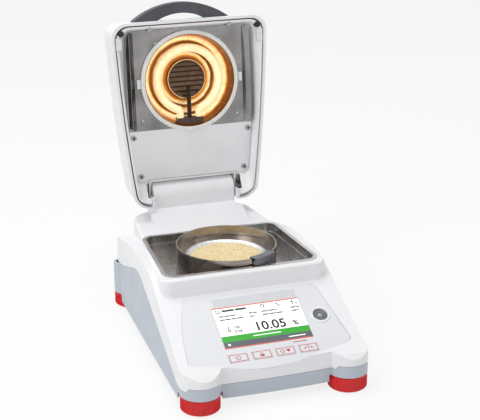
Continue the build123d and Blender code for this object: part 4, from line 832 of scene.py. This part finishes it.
def arc_strokes(x, y, radius, start_deg, end_deg, width, steps=16):
    angles = [math.radians(start_deg + (end_deg - start_deg) * i / steps)
              for i in range(steps + 1)]
    dots = [(x + radius * math.cos(a), y + radius * math.sin(a)) for a in angles]
    return [stroke(a, b, width) for a, b in zip(dots, dots[1:])]


def number(text, x, y, size):
    """Digits and signs on the display as a thin mesh, with their lower left corner at x, y."""
    curve = bpy.data.curves.new("number", "FONT")
    curve.body = text
    curve.size = size * MM
    curve.extrude = FILM_MM / 2 * MM
    curve.offset = BOLDER * size * MM
    holder = bpy.data.objects.new("number", curve)
    bpy.context.collection.objects.link(holder)
    bpy.context.view_layer.update()
    graph = bpy.context.evaluated_depsgraph_get()
    mesh = bpy.data.meshes.new_from_object(holder.evaluated_get(graph))
    bpy.data.objects.remove(holder)
    mesh.transform(CONSOLE @ Matrix.Translation(Vector((x, y, INK_Z + FILM_MM / 2)) * MM))
    return mesh


def film(name, outlines, material, height_mm=FILM_GAP, body="base", extra=()):
    """Outlines and numbers of one colour, as one piece."""
    meshes = [slab(o, height_mm, CONSOLE) for o in outlines] + list(extra)
    return piece(name, joined(meshes), material, body)


print("film thickness", FILM_MM, "mm")

# %% [markdown]
# The display shows a title row, two rows of settings, a large reading, a green progress bar
# and a grey status bar. Rows of settings are drawn as short grey dashes.

# %% What the display shows
SCREEN_W, SCREEN_H = 94.4, 53.4
LEFT, BOTTOM = -SCREEN_W / 2, -SCREEN_H / 2
BAR_LOW, BAR_MIDDLE, BAR_HIGH = BOTTOM, -18.7, -11.0
for name, low, high, material in (("background", BAR_HIGH, SCREEN_H / 2, SCREEN_WHITE),
                                  ("progress", BAR_MIDDLE, BAR_HIGH, SCREEN_GREEN),
                                  ("status", BAR_LOW, BAR_MIDDLE, SCREEN_GREY)):
    film("display_" + name, [box_outline(LEFT, low, SCREEN_W, high - low)], material)

TITLE_Y, TITLE_H = 20.6, 2.4
DASH_H, DASH_GAP = 1.6, 0.7
SETTINGS = {14.0: ((-42, 19), (-10, 9), (4, 17), (36, 10)),  # row's height: x and length
            9.6: ((-42, 25), (-10, 6), (4, 22), (36, 8))}
dashes = []
for row_y, groups in SETTINGS.items():
    for x, length in groups:
        step = x
        while step < x + length:
            word = 4.4 + 3.6 * ((step * 7) % 5) / 5
            dashes.append(box_outline(step, row_y, min(word, x + length - step), DASH_H))
            step += word + DASH_GAP
title = [box_outline(x, TITLE_Y, length, TITLE_H) for x, length in ((-37, 13.0), (-22.8, 12.0))]
pictogram = frame_strokes(-43.5, TITLE_Y - 0.8, 3.6, 3.4, 0.7)
icons = arc_strokes(7, TITLE_Y + 1.4, 1.9, -60, 200, 0.8) + [stroke((7, 19.4), (7, 18.6), 0.9)]
icons += [stroke((22, 23.4), (25.5, 19.4), 1.1)]
icons += [stroke((40, 23.4), (40, 19.0), 0.9), stroke((38.4, 22.6), (41.6, 22.6), 0.9)]
icons += [stroke((43.4, 20.2), (44.6, 20.2), 1.2)]
drop = arc_strokes(-36.5, -4.4, 1.2, 0, 360, 0.7, 12) + [stroke((-36.5, -3), (-36.5, 1.2), 0.9)]
readings = [number("10.05", -9.5, -8.8, 15.6), number("%", 32.0, -8.4, 8.6),
            number("105", -31.0, -2.8, 4.6), number("0:58", -31.0, -7.8, 4.6)]
film("display_ink", title + pictogram + icons + drop, SCREEN_INK, INK_Z, extra=readings)
film("display_settings", dashes, SCREEN_GREY, INK_Z)
film("display_rules", [box_outline(LEFT, 25.4, SCREEN_W, 1.2),
                       box_outline(LEFT, BOTTOM, SCREEN_W, 1.0)], SCREEN_RED, INK_Z)
film("display_status_marks", [box_outline(-43, -23.4, 2.4, 2.4),
                              box_outline(22, -23.0, 18, 1.1),
                              box_outline(-14, -15.4, 30, 1.1)], SCREEN_WHITE, INK_Z)
print("display drawn")

# %% [markdown]
# The console's print: a blank grey band over the display, a thin red rule under it, and a
# red frame and sign on each key. Each key's print rides on its own key, so it moves with it.

# %% Print on the console and keys
film("console_band", [box_outline(-44.0, 28.0, 91.0, 10.5)], PRINT_GREY)
film("console_rule", [box_outline(24.0, -30.6, 15.0, 1.0)], PRINT_RED)
KEY_Y, KEY_W, KEY_H, KEY_PITCH, KEY_PROUD = -39.75, 20.0, 10.0, 25.0, 0.3
BORDER_IN, BORDER_W = 0.9, 0.6
key_x = [(i - 1.5) * KEY_PITCH for i in range(4)]


def key_sign(index, x):
    """The sign in the middle of a key: on and off, print, accept and down, zero."""
    y, w = KEY_Y, 0.55
    if index == 0:
        return arc_strokes(x, y, 2.4, 120, 420, w) + [stroke((x, y), (x, y + 3.0), w)]
    if index == 1:
        page = [stroke((x - 2 + 0.4 * i, y - 0.4), (x - 2 + 0.4 * i, y - 1.9), 0.6)
                for i in range(11)]
        return page + arc_strokes(x, y + 0.4, 1.5, 0, 180, w)
    if index == 2:
        left, right = x - 3.2, x + 3.2
        diamond = [(left, y + 2.4), (left + 2.2, y), (left, y - 2.4), (left - 2.2, y)]
        arrow = [stroke((right - 2 + 0.5 * i, y + 1.6 - 0.8 * i),
                        (right + 2 - 0.5 * i, y + 1.6 - 0.8 * i), 0.8) for i in range(5)]
        return closed_line(diamond, w) + arrow
    arrows = [stroke((x - 5.2, y), (x - 2.6, y), w), stroke((x + 5.2, y), (x + 2.6, y), w)]
    arrows += [stroke((x + side * 2.4, y), (x + side * 3.6, y + up), w)
               for side in (-1, 1) for up in (1.1, -1.1)]
    return arrows + [stroke((x, y + 2.0), (x, y - 2.0), w),
                     stroke((x - 1.4, y + 2.0), (x + 1.4, y + 2.0), w)]


for index, x in enumerate(key_x):
    border = frame_strokes(x - KEY_W / 2 + BORDER_IN, KEY_Y - KEY_H / 2 + BORDER_IN,
                           KEY_W - 2 * BORDER_IN, KEY_H - 2 * BORDER_IN, BORDER_W)
    film(f"key_{index + 1}_print", border + key_sign(index, x), PRINT_RED,
         KEY_PROUD + FILM_GAP, f"key_{index + 1}")
print("keys printed", len(key_x))

# %% [markdown]
# The level is a round vial. Its bubble floats under the glass, inside a thin target ring.

# %% Level bubble and target
LEVEL_X, VIAL_TOP = 64.0, -1.0
BUBBLE_AT = (LEVEL_X + 0.6, 0.4)
target = turned(ring_profile(3.6, 4.0, VIAL_TOP + FILM_GAP, VIAL_TOP + INK_Z), (LEVEL_X, 0),
                CONSOLE, 48)
piece("level_target", target, SCREEN_INK, "base")
bubble = turned([(AXIS_R, VIAL_TOP + FILM_GAP), (2.5, VIAL_TOP + FILM_GAP),
                 (2.3, VIAL_TOP + 0.3), (1.4, VIAL_TOP + 0.55), (AXIS_R, VIAL_TOP + 0.65)],
                BUBBLE_AT, CONSOLE, 36)
piece("level_bubble_lens", bubble, BUBBLE, "base", smooth_deg=60)
print("level ready")

# %% [markdown]
# Around the reflector's ring the steel liner carries small spring tabs and screws. The
# screws repeat, so a function turns the same domed head at each place.

# %% Tabs and screws in the lid
LINER_Z = 116.5
TAB_SPOTS = [(-59.6, -13.0), (59.6, -13.0)]
TAB_W, TAB_LONG, TAB_DROP, TAB_THICK = 4.0, 10.0, 3.2, 3.1
LINER_SCREWS = [(-37.0, -57.0), (37.0, -57.0), (-56.0, 30.0), (56.0, 30.0)]


def domed_head(x, y):
    return turned([(AXIS_R, LINER_Z), (2.5, LINER_Z), (2.5, LINER_Z - 0.5),
                   (2.0, LINER_Z - 1.2), (1.0, LINER_Z - 1.5), (AXIS_R, LINER_Z - 1.5)],
                  (x, y), LID, 20)


heads = [domed_head(x, y) for x, y in LINER_SCREWS]
piece("liner_screws", joined(heads), ZINC, "lid", smooth_deg=40)
tabs = [slab(box_outline(x - TAB_W / 2, y - TAB_LONG / 2, TAB_W, TAB_LONG),
             LINER_Z - TAB_DROP, LID, TAB_THICK) for x, y in TAB_SPOTS]
piece("ring_spring_tabs", joined(tabs), CLIP_WHITE, "lid", smooth_deg=30)
print("tabs", len(tabs), "screws", len(heads))

# %% [markdown]
# The liner is a folded tray. Its side walls lean outwards and mirror the ring beside them,
# which is where the ghost arcs beside the real ring come from. The four screws of the cover
# plate have hexagon sockets, which read as small dark dots: these are painted shade, dark
# discs laid on the heads where the shade inside the sockets falls.

# %% Folded side walls and screw sockets in painted shade
WALL_FOOT_X, WALL_TOP_X, WALL_TOP_Z, WALL_STEEL = 63.5, 69.6, 108.6, 0.5
WALL_FOOT_Z, WALL_ENDS_Y = LINER_Z - 0.05, (-70.0, 38.5)
for side, label in ((-1, "left"), (1, "right")):
    section = [(side * WALL_FOOT_X, WALL_FOOT_Z), (side * WALL_TOP_X, WALL_TOP_Z),
               (side * (WALL_TOP_X + WALL_STEEL), WALL_TOP_Z),
               (side * (WALL_FOOT_X + WALL_STEEL), WALL_FOOT_Z)]
    points = [(x, y, z) for y in WALL_ENDS_Y for x, z in section]
    faces = [(0, 1, 2, 3), (7, 6, 5, 4)]
    faces += [(i, 4 + i, 4 + (i + 1) % 4, (i + 1) % 4) for i in range(4)]
    piece("liner_wall_" + label, outward(mesh_of(points, faces, LID)), STEEL_LID, "lid")

HEAD_FACE_Z = 114.7
SOCKET_SPOTS = [(-68.0, 47.8), (68.0, 47.8), (-61.6, 92.7), (61.6, 92.7)]
socket = ring_profile(AXIS_R, 1.5, HEAD_FACE_Z - 0.05, HEAD_FACE_Z + 0.3)
sockets = [turned(socket, spot, LID, 6) for spot in SOCKET_SPOTS]
piece("cover_screw_sockets_painted_shade", joined(sockets), SOCKET_PAINTED_SHADE, "lid")
print("screw sockets", len(sockets))

# %% [markdown]
# The floor is a pale, plain sheet. Where the camera or a reflection sees it, part of its
# colour is plain white, so the picture's background is white while the shadow stays.

# %% Floor
WHITE = (1, 1, 1, 1)


def white_for_views(tree, kept, white, out, share=1.0):
    """Mixes plain white into what the camera, gloss and glass see, by a share."""
    path = add_node(tree, "ShaderNodeLightPath")
    gloss = maths(tree, "MAXIMUM", path.outputs["Is Camera Ray"], path.outputs["Is Glossy Ray"])
    seen = maths(tree, "MAXIMUM", gloss, path.outputs["Is Transmission Ray"])
    plain = add_node(tree, white, {"Color": WHITE, "Strength": 1.0})
    mix = add_node(tree, "ShaderNodeMixShader", {0: maths(tree, "MULTIPLY", seen, share),
                                                 1: tree.nodes[kept].outputs[0],
                                                 2: plain.outputs[0]})
    tree.links.new(mix.outputs[0], tree.nodes[out].inputs["Surface"])


FLOOR_HALF, FLOOR_WHITE = 6000.0, 0.82
FLOOR = surface("floor_paper", "#F4F4F4", 0.8, tint=(400, "#F1F1F1"), relief=(3, 0.05))
white_for_views(FLOOR.node_tree, "Principled BSDF", "ShaderNodeEmission", "Material Output",
                FLOOR_WHITE)
floor_corners = box_outline(-FLOOR_HALF, -FLOOR_HALF, 2 * FLOOR_HALF, 2 * FLOOR_HALF)
floor_mesh = mesh_of([(x, y, 0) for x, y in floor_corners], [(0, 1, 2, 3)])
floor_mesh.materials.append(FLOOR)
floor = bpy.data.objects.new("floor", floor_mesh)
bpy.context.collection.objects.link(floor)
print("floor", 2 * FLOOR_HALF * MM, "m wide")

# %% [markdown]
# Product pictures are lit by large soft boxes. One stands high on the left and a little
# behind, so tops are brightest, and a weaker one fills from the right of the camera. The
# world adds an even grey, and looks white to the camera.

# %% Soft light
def soft_box(name, place, target, size, watts):
    data = bpy.data.lights.new(name, "AREA")
    data.shape = "RECTANGLE"
    data.size, data.size_y = size
    data.energy = watts
    item = bpy.data.objects.new(name, data)
    item.location = place
    item.rotation_euler = (Vector(place) - Vector(target)).to_track_quat("Z", "Y").to_euler()
    bpy.context.collection.objects.link(item)


AIM = (0.0, 0.0, 0.12)
soft_box("soft_box_top", (-0.35, 0.1, 1.7), AIM, (1.4, 1.4), 17.0)
soft_box("soft_box_left", (-1.6, -0.8, 1.0), AIM, (1.0, 1.2), 9.0)
soft_box("soft_box_right", (1.5, -1.4, 0.9), AIM, (1.0, 1.2), 4.0)

AMBIENT = 0.42
world = bpy.data.worlds.new("studio")
bpy.context.scene.world = world
world.use_nodes = True
ambient = world.node_tree.nodes["Background"]
ambient.inputs["Color"].default_value = WHITE
ambient.inputs["Strength"].default_value = AMBIENT
white_for_views(world.node_tree, "Background", "ShaderNodeBackground", "World Output")
print("lights", len(bpy.data.lights))
